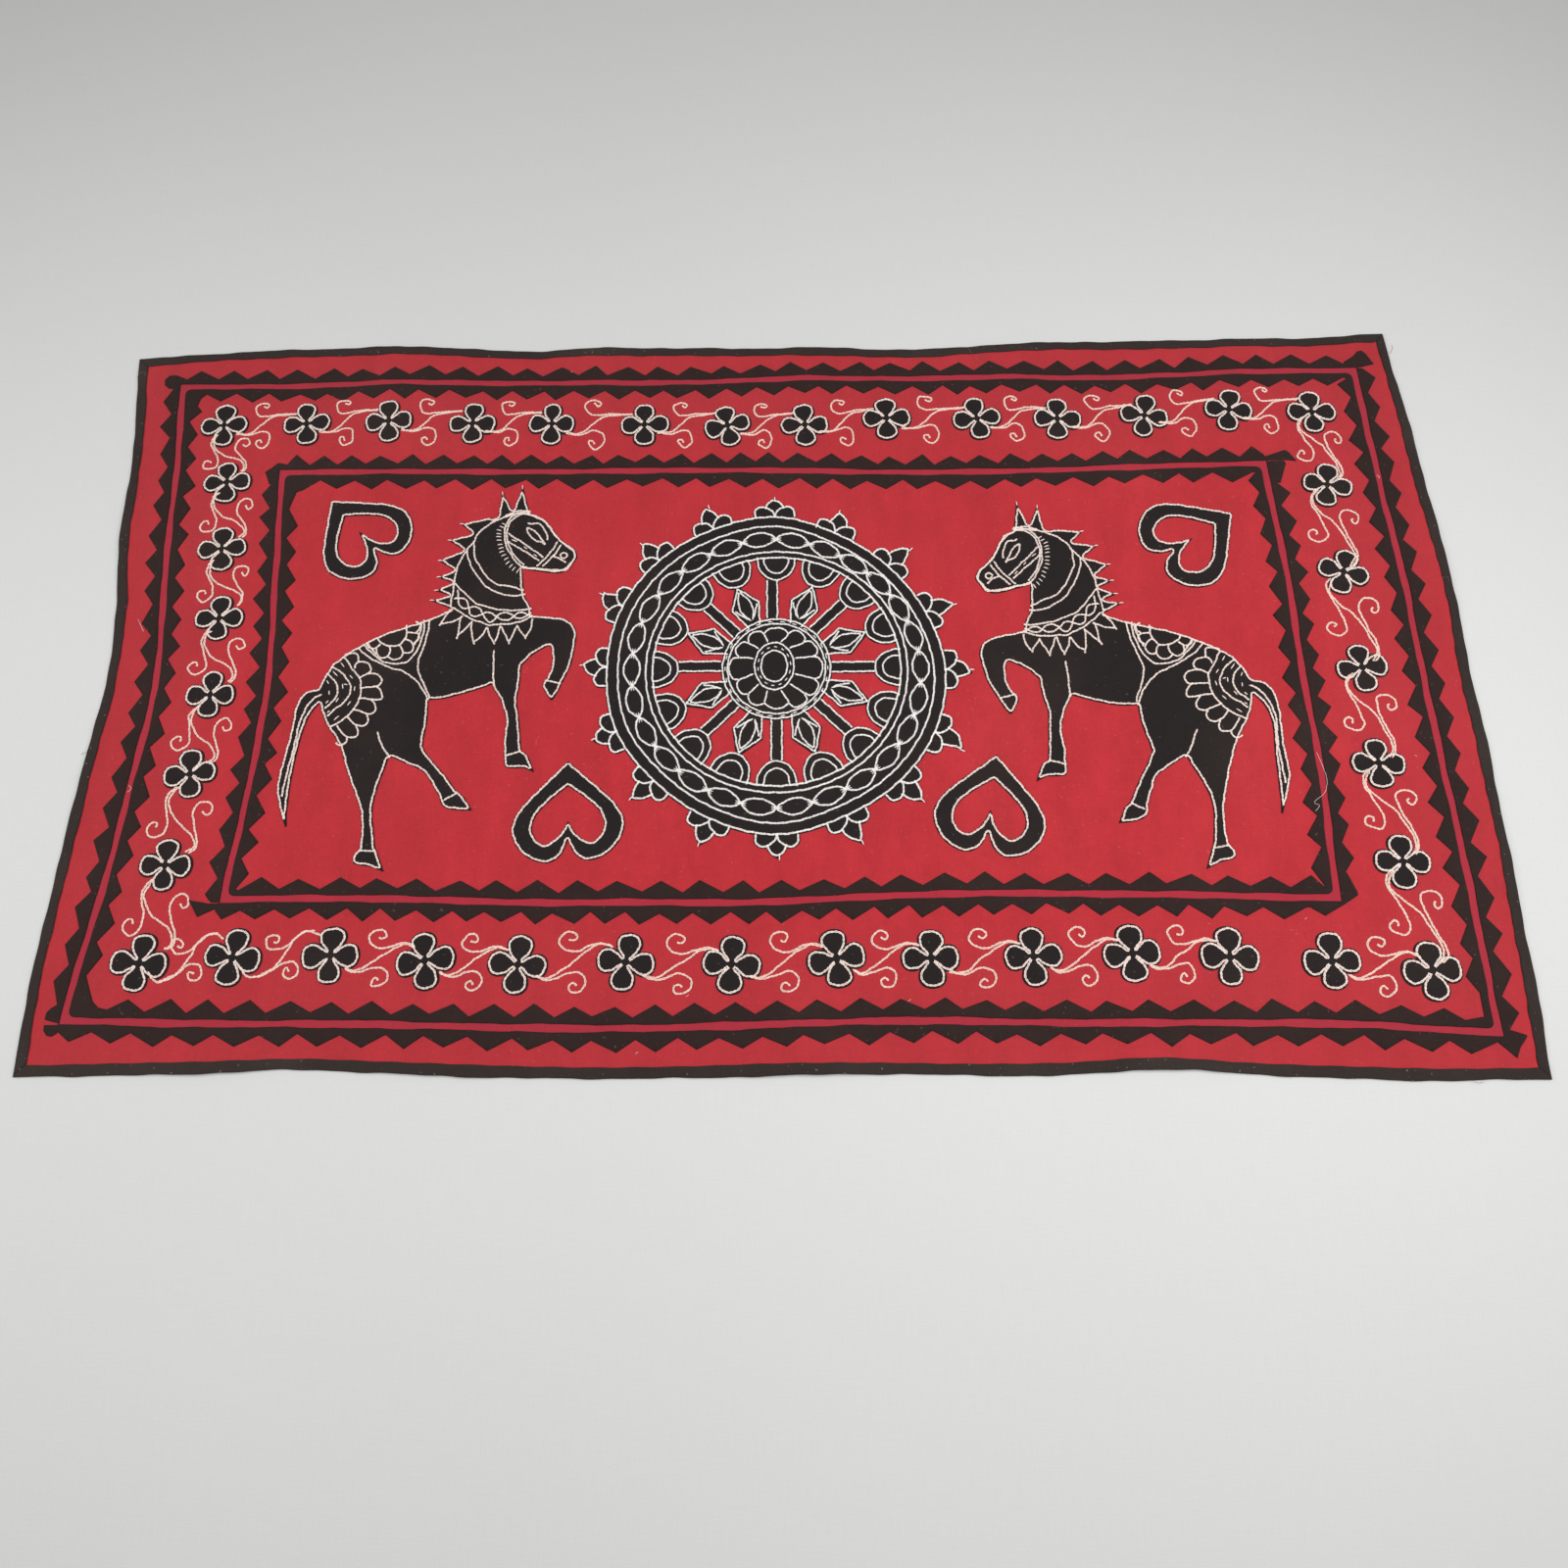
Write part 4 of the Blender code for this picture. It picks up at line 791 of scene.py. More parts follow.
# Loose yarns at the bound edge: the points that each is drawn over and the swing between them, the
# step and wave of every loose thread, and the radius and rise of these
YARN_POINTS = 6
YARN_SWING = 9
YARN_STEP = 1.6
YARN_WAVE = 0.9
YARN_RADIUS = 0.16
YARN_RISE = 0.5
LOOSE_YARNS = (
    Yarn("top", 0.668, 0.5, -62, 46, 8, True), Yarn("top", 0.672, -2, -110, 26, -12, False),
    Yarn("right", 0.03, 3, 30, 15, 12, True), Yarn("left", 0.97, 2, 60, 14, -14, True),
    Yarn("bottom", 0.05, 1, -40, 12, 10, False), Yarn("left", 0.4, 0, 150, 10, 12, False),
)

# Ends of pale thread left on the cloth: radius, rise, and their places along a frame's side and
# out from it
PALE_RADIUS = 0.2
PALE_RISE = 0.2
PALE_ENDS = (
    PaleEnd("outer", "right", ((144, -1.5), (146, 1.5), (148, 0))),
    PaleEnd("outer", "left", ((240, 1.5), (244, -2), (248, 2))),
    PaleEnd("outer", "left", ((430, 20), (436, 23), (445, 27))),
    PaleEnd("outer", "bottom", ((845, 23), (848, 25))),
    PaleEnd("outer", "bottom", ((575, -21), (578, -19))),
    PaleEnd("outer", "bottom", ((797, -32), (800, -30))),
    PaleEnd("outer", "top", ((468, 14), (470, 15))),
    PaleEnd("outer", "right", ((484, -27), (486, -25))),
    PaleEnd("inner", "bottom", ((34, 21), (36, 23))),
    PaleEnd("inner", "right", ((355, -1), (378, 4), (398, 2), (410, -12), (414, -7), (420, -12))),
)

# Lint: a fibre's radius, rise, the lengths of its two halves and the bend between them
LINT_RADIUS = 0.11
LINT_RISE = 0.1
LINT_FIRST = (0.8, 2.4)
LINT_SECOND = (0.6, 2.0)
LINT_BEND = 50
LINT_AREAS = rows_of(
    Patch, (-365, 10, 110, 150, 6), (12, 8, 180, 180, 9), (390, 0, 130, 160, 6), (0, 325, 660, 50, 6),
    (0, -320, 660, 50, 8),
)

# How each cotton is woven, dyed and worn, and how much shade is painted into its weave's hollows, along
# creases and at its cut edges
RED_LOOK = Look(
    pitch=0.00085, mottle_scale=26.0, slub=0.30, mottle=0.27, relief=0.30, faded=0.20,
    worn=(0.56, 0.050, 0.055), grain=0.22, lint=0.14, lint_colour=(0.62, 0.30, 0.28), worn_edge=0.0,
    edge_colour=(0, 0, 0), height=0.00035, sheen=0.10, border_shade=0.05, streak=0.36,
)
BLACK_LOOK = Look(
    pitch=0.0008, mottle_scale=34.0, slub=0.40, mottle=0.45, relief=0.40, faded=0.30,
    worn=(0.044, 0.028, 0.024), grain=0.35, lint=0.5, lint_colour=(0.12, 0.09, 0.08), worn_edge=0.45,
    edge_colour=(0.012, 0.009, 0.009), height=0.00032, sheen=0.03, border_shade=0.0, streak=0.0,
)
BINDING_LOOK = BLACK_LOOK._replace(
    mottle_scale=20.0, relief=0.45, faded=0.35, worn=(0.060, 0.048, 0.042), lint_colour=(0.26, 0.23, 0.21),
    worn_edge=0.35, edge_colour=(0.022, 0.018, 0.017), sheen=0.05,
)
COTTONS = {
    "red_cotton": RED_LOOK, "black_cotton": BLACK_LOOK, "strip_cotton": BLACK_LOOK,
    "binding_cotton": BINDING_LOOK,
}

# Over what distances from the edge the border's darker, greyer red fades, and the deeper crimson of the
# ground between the strips, partly painted shade and partly dye less faded: how far it is even and fades from
# a frame's line, and its share
BORDER_FADES = (70.0, 190.0)
BORDER_GREY_RED = (0.49, 0.046, 0.058)
BORDER_GREY_SHARE = 0.25
# The deeper crimson between each frame's two strips is partly painted shade from the strips' raised edges,
# and partly dye less faded.
SHADED_LINE_FLAT = 8.0
SHADED_LINE_FADE = 7.0
SHADED_LINE_SHARE = 0.45
SHADED_LINE_COLOUR = (0.36, 0.024, 0.058)

# The weave's mean height, and the heights of slubs and grain beside it
WEAVE_MEAN = 0.55
SLUB_HEIGHT = 1.6
GRAIN_HEIGHT = 0.8

# Scales of the cottons' noises, and where the fading, the specks and the painted shade along cut edges begin
# and end
SLUB_SCALES = (2200.0, 70.0)
CREASE_SHADE_SCALES = (30.0, 7.0, 7.0)
PATCH_SCALE = 5.5
PATCH_FADE = (0.45, 0.72)
GRAIN_SCALE = 420.0
SPECK_SCALE = 260.0
SPECK_FADE = (0.735, 0.76)
EDGE_SHADE_FADE = (0.0, 1.1)

# Threads: the colour that each is dyed, and what it is soiled to
THREAD_DYES = {
    "cream_chain_thread": ("cream_thread", (0.90, 0.71, 0.62)),
    "white_chain_thread": ("white_thread", (0.88, 0.80, 0.74)),
    "pink_chain_thread": ("pink_thread", (0.98, 0.62, 0.52)),
    "red_yarn_end": ("red_cotton", (0.40, 0.020, 0.030)),
    "dark_yarn_end": ("binding_cotton", (0.02, 0.02, 0.02)),
}
LINT_COLOUR = (0.40, 0.34, 0.30)
LINT_SHADOW = (0.28, 0.23, 0.20)
FIBRE_SCALES = (1400.0, 1400.0, 2600.0)
SOIL_SCALE = 38.0
SOIL_FADE = (0.45, 0.8)
SOIL_SHARE = 0.3

FLOOR_LEVEL = 0.0
FLOOR_LOW = (-4.0, -4.0)
FLOOR_HIGH = (4.0, 5.0)
FLOOR_GRAIN_SCALE = 520.0
FLOOR_CLOUD_SCALE = 1.3
FLOOR_SLUB_SCALES = (900.0, 30.0)
LAMPS = (
    Lamp("left_light", 1.2, 1.2, 13.3, (1.0, 1.0, 1.0), (-1.2, -0.2, 1.4)),
    Lamp("right_light", 1.2, 1.2, 17.8, (1.0, 1.0, 1.0), (0.8, -0.2, 1.4)),
)
WORLD_COLOUR = (1.0, 1.0, 0.985, 1.0)
WORLD_STRENGTH = 0.3
CAMERA_LENS = 27.05
CAMERA_SENSOR = 36.0
CAMERA_CLIP = (0.05, 30.0)
CAMERA_SWING = 2.78
CAMERA_TILT = 18.33
CAMERA_ROLL = -3.16
CAMERA_PLACE = (0.0370, -0.5185, 1.1861)


# ---------------------------------------------------------------------------------------
# Lines and plans
# ---------------------------------------------------------------------------------------


def curve_between(a, b, c, d, t):
    """The Catmull-Rom curve from b to c, with a before them and d after."""
    square, cube = (2 * a - 5 * b + 4 * c - d) * t**2, (3 * b - a - 3 * c + d) * t**3
    return 0.5 * (2 * b + (c - a) * t + square + cube)


def smooth(points, steps=4, closed=False):
    """A smooth line through given points, with even steps between each two."""
    places = np.array([tuple(p)[:2] for p in points], float)
    ends = (places[-1:], places[:2]) if closed else (places[:1], places[-1:])
    ring = np.vstack([ends[0], places, ends[1]])
    shares = np.arange(steps)[:, None] / steps
    line = np.vstack([curve_between(*ring[i : i + 4], shares) for i in range(len(ring) - 3)])
    return line if closed else np.vstack([line, places[-1]])


def unit(vectors):
    """The same directions with a length of one."""
    return vectors / np.maximum(np.linalg.norm(vectors, axis=-1, keepdims=True), LEAST_LENGTH)


def run_lengths(line):
    """How far along a line each of its points lies."""
    return np.r_[0, np.cumsum(np.linalg.norm(np.diff(line, axis=0), axis=1))]


def spaced(line, pitch):
    """The same line at even spaces of about the pitch."""
    along = run_lengths(line)
    stops = np.linspace(0, along[-1], max(1, round(along[-1] / pitch)) + 1)
    return np.column_stack([np.interp(stops, along, line[:, k]) for k in (0, 1)])


def with_steps(ring, step):
    """A closed ring with points added, so that none of its edges is longer than the step."""
    longer = []
    for start, end in zip(ring, np.roll(ring, -1, axis=0)):
        count = max(1, math.ceil(np.linalg.norm(end - start) / step))
        longer += [start + (end - start) * i / count for i in range(count)]
    return np.array(longer)


def turned(places, degrees):
    """Places turned counter-clockwise about the origin."""
    angle = math.radians(degrees)
    right, up = math.cos(angle), math.sin(angle)
    x, y = np.moveaxis(np.asarray(places, float), -1, 0)
    return np.stack([x * right - y * up, x * up + y * right], axis=-1)


def polar(radius, degrees):
    """Places at radii and bearings, counter-clockwise from +X."""
    angle = np.radians(degrees)
    return np.stack([radius * np.cos(angle), radius * np.sin(angle)], axis=-1)


class Side:
    """One side of a frame: a smooth line between two corners with its drift."""

    def __init__(self, outline_frame, name):
        index = SIDES.index(name)
        self.start = np.array(outline_frame.corners[index], float)
        end = np.array(outline_frame.corners[(index + 1) % len(SIDES)], float)
        self.length = float(np.linalg.norm(end - self.start))
        self.along = (end - self.start) / self.length
        self.outward = np.array((-self.along[1], self.along[0]))
        self.drift = np.array((0, *outline_frame.drift[name], 0), float)

    def drift_at(self, share):
        """The drift at a share of the side's length."""
        spans = len(self.drift) - 1
        place = np.clip(share, 0.0, 1.0) * spans
        first = np.minimum(place.astype(int), spans - 1)
        near = (self.drift[np.clip(first + k, 0, spans)] for k in (-1, 0, 1, 2))
        return curve_between(*near, place - first)

    def at(self, distance, out=0.0):
        """The places this far along the side, and out from it."""
        distance = np.asarray(distance, float)
        aside = self.drift_at(distance / self.length) + out
        return self.start + np.multiply.outer(distance, self.along) + np.multiply.outer(aside, self.outward)


def swell(places, folds):
    """The height of low ridges at each place."""
    total = np.zeros(len(places))
    for fold in folds:
        along, across = np.moveaxis(turned(places - (fold.x, fold.y), -fold.bearing), -1, 0)
        ridge = np.cos(math.pi / 2 * np.clip(along / fold.long, -1, 1))
        ridge *= np.cos(math.pi / 2 * np.clip(across / fold.wide, -1, 1))
        total += fold.high * ridge**2
    return total


def small_puckers():
    """Small wrinkles all over the cloth, most of them in the open red field and the border."""
    rng = random.Random(PUCKER_SEED)
    puckers = list(PUCKERS)
    for area in PUCKER_AREAS:
        for _ in range(area.count):
            puckers.append(Fold(
                area.x + rng.uniform(-area.half_x, area.half_x),
                area.y + rng.uniform(-area.half_y, area.half_y),
                area.bearing + rng.gauss(0, area.spread),
                rng.uniform(*PUCKER_LONG), rng.uniform(*PUCKER_WIDE),
                area.high * rng.uniform(*PUCKER_SHARES),
            ))
    return puckers


WRINKLES = small_puckers()


def lift(places):
    """How far the folds and wrinkles hold the cloth off the floor at each place."""
    return swell(places, FOLDS) + swell(places, WRINKLES)


# ---------------------------------------------------------------------------------------
# Plans of cut cloth
# ---------------------------------------------------------------------------------------


def counter_clockwise(ring):
    """The ring in counter-clockwise order, in which the triangulation reads its inside."""
    following = np.roll(ring, -1, axis=0)
    twice_area = np.sum(ring[:, 0] * following[:, 1] - ring[:, 1] * following[:, 0])
    return ring if twice_area > 0 else ring[::-1]


def fill(shapes, loose=()):
    """Triangles of a plan built up from ordered shapes, each of which adds to it or cuts it."""
    points, rings = [], []
    for shape in shapes:
        rings.append(list(range(len(points), len(points) + len(shape.ring))))
        points.extend(Vector(p) for p in counter_clockwise(np.asarray(shape.ring, float)))
    points.extend(Vector(p) for p in loose)
    corners, _, faces, _, _, sources = delaunay_2d_cdt(points, [], rings, KEEP_HULL, MERGE_WITHIN)
    kept = [tuple(f) for f, found in zip(faces, sources) if found and not shapes[max(found)].cut]
    return np.array([tuple(c) for c in corners]), kept


def boundary(faces):
    """Edges that only one triangle has, in that triangle's order."""
    edges = [edge for f in faces for edge in zip(f, f[1:] + f[:1])]
    known = set(edges)
    return [(a, b) for a, b in edges if (b, a) not in known]


def outline(shapes):
    """The same plan as its outline and its openings alone, the cloth to the left of each."""
    corners, faces = fill(shapes)
    following = dict(boundary(faces))
    rings = []
    while following:
        start, place = following.popitem()
        ring = [start]
        while place != start:
            ring.append(place)
            place = following.pop(place)
        ring = corners[ring]
        rings.append(Shape(ring, counter_clockwise(ring) is not ring))
    return sorted(rings, key=lambda found: found.cut)


def edges_of(rings):
    """The starts and ends of all the edges of some rings."""
    return np.vstack(rings), np.vstack([np.roll(ring, -1, axis=0) for ring in rings])


def in_parts(count):
    """Numbers up to a count in parts small enough to measure at once."""
    return np.array_split(np.arange(count), count // PART_SIZE + 1)


def depth_at(places, rings):
    """How far each place lies from the nearest cut edge."""
    starts, ends = edges_of(rings)
    runs = ends - starts
    squares = np.maximum((runs**2).sum(axis=1), LEAST_LENGTH)
    depths = np.zeros(len(places))
    for part in in_parts(len(places)):
        away = places[part, None, :] - starts
        shares = np.clip((away * runs).sum(axis=2) / squares, 0, 1)
        gaps = away - shares[..., None] * runs
        depths[part] = np.sqrt((gaps**2).sum(axis=2).min(axis=1))
    return depths


def within(places, rings):
    """Which places lie inside the outline, by counting its crossings to their right."""
    starts, ends = edges_of(rings)
    rises = ends[:, 1] - starts[:, 1]
    rises = np.where(rises == 0, LEAST_RISE, rises)
    found = np.zeros(len(places), bool)
    for part in in_parts(len(places)):
        x, y = places[part, 0, None], places[part, 1, None]
        spans = (starts[:, 1] > y) != (ends[:, 1] > y)
        crossing = starts[:, 0] + (y - starts[:, 1]) * (ends[:, 0] - starts[:, 0]) / rises
        found[part] = (spans & (x < crossing)).sum(axis=1) % 2 == 1
    return found


def inset(ring, rings, depth):
    """The points of a ring moved into the cloth by a depth, without those that come too near
    another edge."""
    runs = unit(np.roll(ring, -1, axis=0) - ring)
    ways = np.column_stack([-runs[:, 1], runs[:, 0]])
    moved = ring + unit(ways + np.roll(ways, 1, axis=0)) * depth
    return moved[depth_at(moved, rings) > depth * INSET_KEEPS]


def grid_within(rings, step, clear):
    """Evenly laid places inside the outline that keep clear of its edges."""
    low, high = np.vstack(rings).min(axis=0), np.vstack(rings).max(axis=0)
    columns, rows = np.ceil((high - low) / step).astype(int)
    across, up = np.meshgrid(np.arange(columns) + 0.5, np.arange(rows) + 0.5)
    places = np.column_stack([(across + (up % 2) * 0.5).ravel(), up.ravel()]) * step + low
    places = places[within(places, rings)]
    return places[depth_at(places, rings) > clear]


# ---------------------------------------------------------------------------------------
# Meshes
# ---------------------------------------------------------------------------------------


CUT_PLANS = []


def add_piece(name, places, faces, finish, values=None):
    """Puts one mesh, given in millimetres, into the scene as a piece of the tapestry. Values are
    named numbers for its points, which its material reads."""
    mesh = bpy.data.meshes.new(name)
    corners = (np.asarray(places, float) - (*PLAN_MIDDLE, 0.0)) * MM
    mesh.vertices.add(len(corners))
    mesh.vertices.foreach_set("co", corners.ravel())
    groups = [np.asarray(group, int) for group in faces if len(group)]
    order = np.concatenate([group.ravel() for group in groups])
    sizes = np.concatenate([np.full(len(group), group.shape[1]) for group in groups])
    mesh.loops.add(len(order))
    mesh.loops.foreach_set("vertex_index", order)
    mesh.polygons.add(len(sizes))
    mesh.polygons.foreach_set("loop_start", np.r_[0, np.cumsum(sizes)[:-1]])
    mesh.polygons.foreach_set("use_smooth", np.ones(len(sizes), bool))
    for key, numbers in (values or {}).items():
        mesh.attributes.new(key, "FLOAT", "POINT").data.foreach_set("value", np.asarray(numbers, float))
    mesh.update(calc_edges=True)
    mesh.validate()
    piece = bpy.data.objects.new(name, mesh)
    piece.data.materials.append(bpy.data.materials[finish])
    bpy.context.scene.collection.objects.link(piece)
    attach(piece, "root")
    return piece


def add_slab(name, lower, upper, faces, rim, finish, values):
    """A closed sheet from its lower and upper points, its faces and the edges of its rim."""
    count = len(lower)
    walls = np.column_stack([rim[:, 0], rim[:, 1], rim[:, 1] + count, rim[:, 0] + count])
    groups = [faces[:, ::-1], faces + count, walls]
    return add_piece(name, np.vstack([lower, upper]), groups, finish, values)


def add_cut_cloth(name, shapes, finish, steps, dimple=0.0):
    """Cotton cut to a plan and sewn down: its edge turned under, a little full in the middle."""
    edge_step, grid_step = steps
    cut = outline(shapes)
    rings = [with_steps(shape.ring, edge_step) for shape in cut]
    loose = [inset(ring, rings, depth) for ring in rings for depth in EDGE_ROWS]
    loose.append(grid_within(rings, grid_step, GRID_CLEAR))
    shapes = [Shape(ring, shape.cut) for ring, shape in zip(rings, cut)]
    corners, faces = fill(shapes, np.vstack([places for places in loose if len(places)]))
    used = np.unique(faces)
    renamed = np.full(len(corners), -1)
    renamed[used] = np.arange(len(used))
    corners, faces = corners[used], renamed[np.array(faces)]
    CUT_PLANS.append(rings)
    depths = depth_at(corners, rings)
    rounded = np.sin(math.pi / 2 * np.clip(depths / EDGE_ROUNDING, 0, 1))
    full = np.clip((depths - EDGE_ROUNDING) / FULL_OVER, 0, 1)
    heights = BLACK_EDGE + (BLACK_THICK - BLACK_EDGE) * rounded + dimple * full
    floor = lift(corners) + BLACK_BASE
    lower, upper = np.column_stack([corners, floor]), np.column_stack([corners, floor + heights])
    rim = np.array(boundary([tuple(f) for f in faces]))
    return add_slab(name, lower, upper, faces, rim, finish, {"depth": np.r_[depths * 0, depths]})


# ---------------------------------------------------------------------------------------
# Stitches
# ---------------------------------------------------------------------------------------


def strand_faces(rings, around, closed):
    """Quads of one strand of several rings, or of a loop of them."""
    faces = []
    for i in range(rings if closed else rings - 1):
        j = (i + 1) % rings
        for k in range(around):
            m = (k + 1) % around
            faces.append((i * around + k, i * around + m, j * around + m, j * around + k))
    return np.array(faces)


def run_of(line, closed):
    """A line, with its start again at the end if it is closed."""
    return np.vstack([line, line[:1]]) if closed else line


def along_line(line, stops, closed):
    """Places and sideways directions at distances along a line."""
    ring = run_of(line, closed)
    lengths = run_lengths(ring)

    def read(distances):
        distances = distances % lengths[-1] if closed else np.clip(distances, 0, lengths[-1])
        return np.stack([np.interp(distances, lengths, ring[:, k]) for k in (0, 1)], axis=-1)

    run = unit(read(stops + AIM_REACH) - read(stops - AIM_REACH))
    return read(stops), np.stack([-run[..., 1], run[..., 0]], axis=-1)


def line_length(line, closed):
    """The whole length of a line."""
    return float(np.linalg.norm(np.diff(run_of(line, closed), axis=0), axis=1).sum())


class Thread:
    """Gathers the stitches of one thread into one mesh."""

    def __init__(self, seed, half_width, radius, pitch):
        self.rng = np.random.default_rng(seed)
        self.half_width, self.radius, self.pitch = half_width, radius, pitch
        self.vertices, self.faces, self.tones, self.count = [], [], [], 0

    def tubes(self, centres, closed, radii):
        """Strands through centres of shape (strand, ring, 3)."""
        directions = polar(1.0, np.array(STRAND_ANGLES)) * (1, STRAND_PRESSED)
        if closed:
            runs = np.roll(centres, -1, axis=1) - np.roll(centres, 1, axis=1)
        else:
            runs = np.gradient(centres, axis=1)
        aside = unit(np.stack([-runs[..., 1], runs[..., 0], np.zeros(runs.shape[:-1])], axis=-1))
        up = np.array((0.0, 0.0, 1.0))
        ring = aside[..., None, :] * directions[:, 0, None] + up * directions[:, 1, None]
        places = centres[..., None, :] + ring * np.asarray(radii)[..., None, None]
        strands, rings, around, _ = places.shape
        faces = strand_faces(rings, around, closed)
        offsets = self.count + np.arange(strands)[:, None, None] * rings * around
        self.faces.append((faces[None] + offsets).reshape(-1, 4))
        if not closed:
            first = self.count + np.arange(strands)[:, None] * rings * around
            caps = np.arange(around)[None]
            last = (rings - 1) * around + caps
            self.faces.append(np.vstack([first + caps[:, ::-1], first + last]))
        self.vertices.append(places.reshape(-1, 3))
        tone = self.rng.uniform(0, 1, strands)
        self.tones.append(np.repeat(tone, rings * around))
        self.count += strands * rings * around

    def stray(self, stops):
        """How far the hand strays from the drawn line."""
        return sum(
            size * np.sin(2 * math.pi * stops / long + self.rng.uniform(0, 2 * math.pi))
            for long, size in HAND_WAVES
        )

    def chain(self, line, above, closed=False):
        """Chain stitch along a line, each loop caught down by the next."""
        length = line_length(line, closed)
        count = max(1, round(length / self.pitch))
        step = length / count
        starts = (np.arange(count) + self.rng.uniform(-LOOP_SLIP, LOOP_SLIP, count)) * step
        long = step * (LOOP_LONG + self.rng.uniform(-LOOP_LONG_SLIP, LOOP_LONG_SLIP, count))
        stops = starts[:, None] + LOOP_SHAPE[:, 0] * long[:, None]
        places, aside = along_line(line, stops, closed)
        wide = self.half_width * (1 + self.rng.uniform(-LOOP_WIDE_SLIP, LOOP_WIDE_SLIP, count))
        places = places + aside * (LOOP_SHAPE[:, 1] * wide[:, None] + self.stray(stops))[..., None]
        places = places + self.rng.normal(0, LOOP_ASIDE, (count, 1, 2))
        heights = above(places.reshape(-1, 2)).reshape(count, -1) + LOOP_RISE + self.radius * 0.5
        centres = np.concatenate([places, heights[..., None]], axis=-1)
        self.tubes(
            centres, True, self.radius * (1 + self.rng.uniform(*STRAND_SLIP, (count, 1)) + 0 * heights),
        )

    def straight(self, starts, ends, above):
        """Single straight stitches."""
        starts, ends = np.atleast_2d(starts), np.atleast_2d(ends)
        shares = np.array(STRAIGHT_SHARES)
        places = starts[:, None] + (ends - starts)[:, None] * shares[:, None]
        places = places + self.rng.normal(0, STRAIGHT_ASIDE, places.shape)
        heights = above(places.reshape(-1, 2)).reshape(len(starts), -1) + STRAIGHT_RISE
        centres = np.concatenate([places, heights[..., None]], axis=-1)
        self.tubes(centres, False, self.radius * STRAIGHT_FULL * STRAIGHT_THICK + 0 * heights)

    def loose(self, line, above, radius, wave):
        """A loose end of yarn lying on the cloth."""
        line = spaced(line, YARN_STEP)
        heights = above(line) + radius + wave * np.abs(np.sin(np.arange(len(line)) * YARN_WAVE))
        centres = np.column_stack([line, heights])[None]
        self.tubes(centres, False, np.full((1, len(line)), radius))

    def sew(self, name, finish, slot_name):
        places = np.vstack(self.vertices)
        return add_piece(
            name, places, [np.vstack(self.faces)], finish, {"tone": np.concatenate(self.tones)},
        )


def on_black(places):
    """The top of the black cloth."""
    return lift(places) + BLACK_TOP


def on_cloth(places):
    """The top of whatever cut cloth lies at each place, or of the ground panel."""
    top = np.full(len(places), GROUND_TOP)
    for rings in CUT_PLANS:
        low, high = np.vstack(rings).min(axis=0), np.vstack(rings).max(axis=0)
        near = np.flatnonzero(((places > low) & (places < high)).all(axis=1))
        if len(near):
            top[near[within(places[near], rings)]] = BLACK_TOP
    return lift(places) + top


def on_edge(places):
    """The top of the binding or the ground panel, or the floor beyond them."""
    edge = [frame_ring(EDGE)]
    depths = depth_at(places, edge)
    inside = within(places, edge)
    bound = BINDING_FOLD[BINDING_CREST][1] + RIM_LIFT
    height = np.where(depths < BINDING_SHOWS, bound, GROUND_TOP) + lift(places)
    return np.where(inside, height, bound * np.clip(1 - depths / BINDING_DROP, 0, 1))


def frame_ring(outline_frame):
    """The four sides of a frame as one closed ring."""
    ring = []
    for name in SIDES:
        side = Side(outline_frame, name)
        ring.append(side.at(np.arange(0, side.length, BINDING_STEP)))
    return np.vstack(ring)


# ---------------------------------------------------------------------------------------
# The tapestry's shapes
# ---------------------------------------------------------------------------------------


def toothed_edge(side, way, teeth, rng):
    """Valleys and tips along one edge of a strip."""
    pitch = (teeth.last - teeth.first) / (teeth.count - 1)
    points = [side.at(teeth.start, way * VALLEY_OUT)]
    for tooth in range(teeth.count):
        middle = teeth.first + pitch * tooth + rng.uniform(-TOOTH_SLIP, TOOTH_SLIP)
        points.append(side.at(middle, way * (TOOTH_OUT + rng.uniform(-TIP_SLIP, TIP_SLIP))))
        valley = teeth.first + pitch * (tooth + 0.5) + rng.uniform(-TOOTH_SLIP, TOOTH_SLIP)
        if tooth == teeth.count - 1:
            valley = teeth.end
        points.append(side.at(valley, way * (VALLEY_OUT + rng.uniform(-VALLEY_SLIP, VALLEY_SLIP))))
    return points


def waver(along, length, seed):
    """How far hand cutting strays from a straight edge, not at all near its ends."""
    rng = np.random.default_rng(seed)
    stray = sum(
        size * rng.uniform(*WAVER_SHARES) * np.sin(2 * math.pi * along / long + rng.uniform(0, 2 * math.pi))
        for long, size in WAVER_WAVES
    )
    near = np.minimum(along, length - along)
    return stray * np.clip((near - WAVER_CLEAR) / WAVER_CLEAR, 0, 1)


def straight_edge(side, way, start, end, seed):
    """The straight edge of a strip, which follows its side's drift and strays by hand."""
    steps = math.ceil((end - start) / LINE_STEP)
    along = start + (end - start) * np.arange(steps + 1) / steps
    return list(side.at(along, way * (LINE_HALF + waver(along, side.length, seed))))


def outside_strip(side, starts_square, teeth, rng, seed):
    """One side's length of an outer strip. A square start runs on past the corner, and the other
    stops short of the strip that crosses it."""
    start = -SQUARE_PAST if starts_square else JOINT_GAP - LINE_HALF
    end = side.length + SQUARE_PAST
    outside = toothed_edge(side, 1, teeth, rng)
    ends = [side.at(end, SQUARE_PAST)]
    starts = [side.at(start, SQUARE_PAST)]
    return np.array([*outside, *ends, *reversed(straight_edge(side, 1, start, end, seed)), *starts])


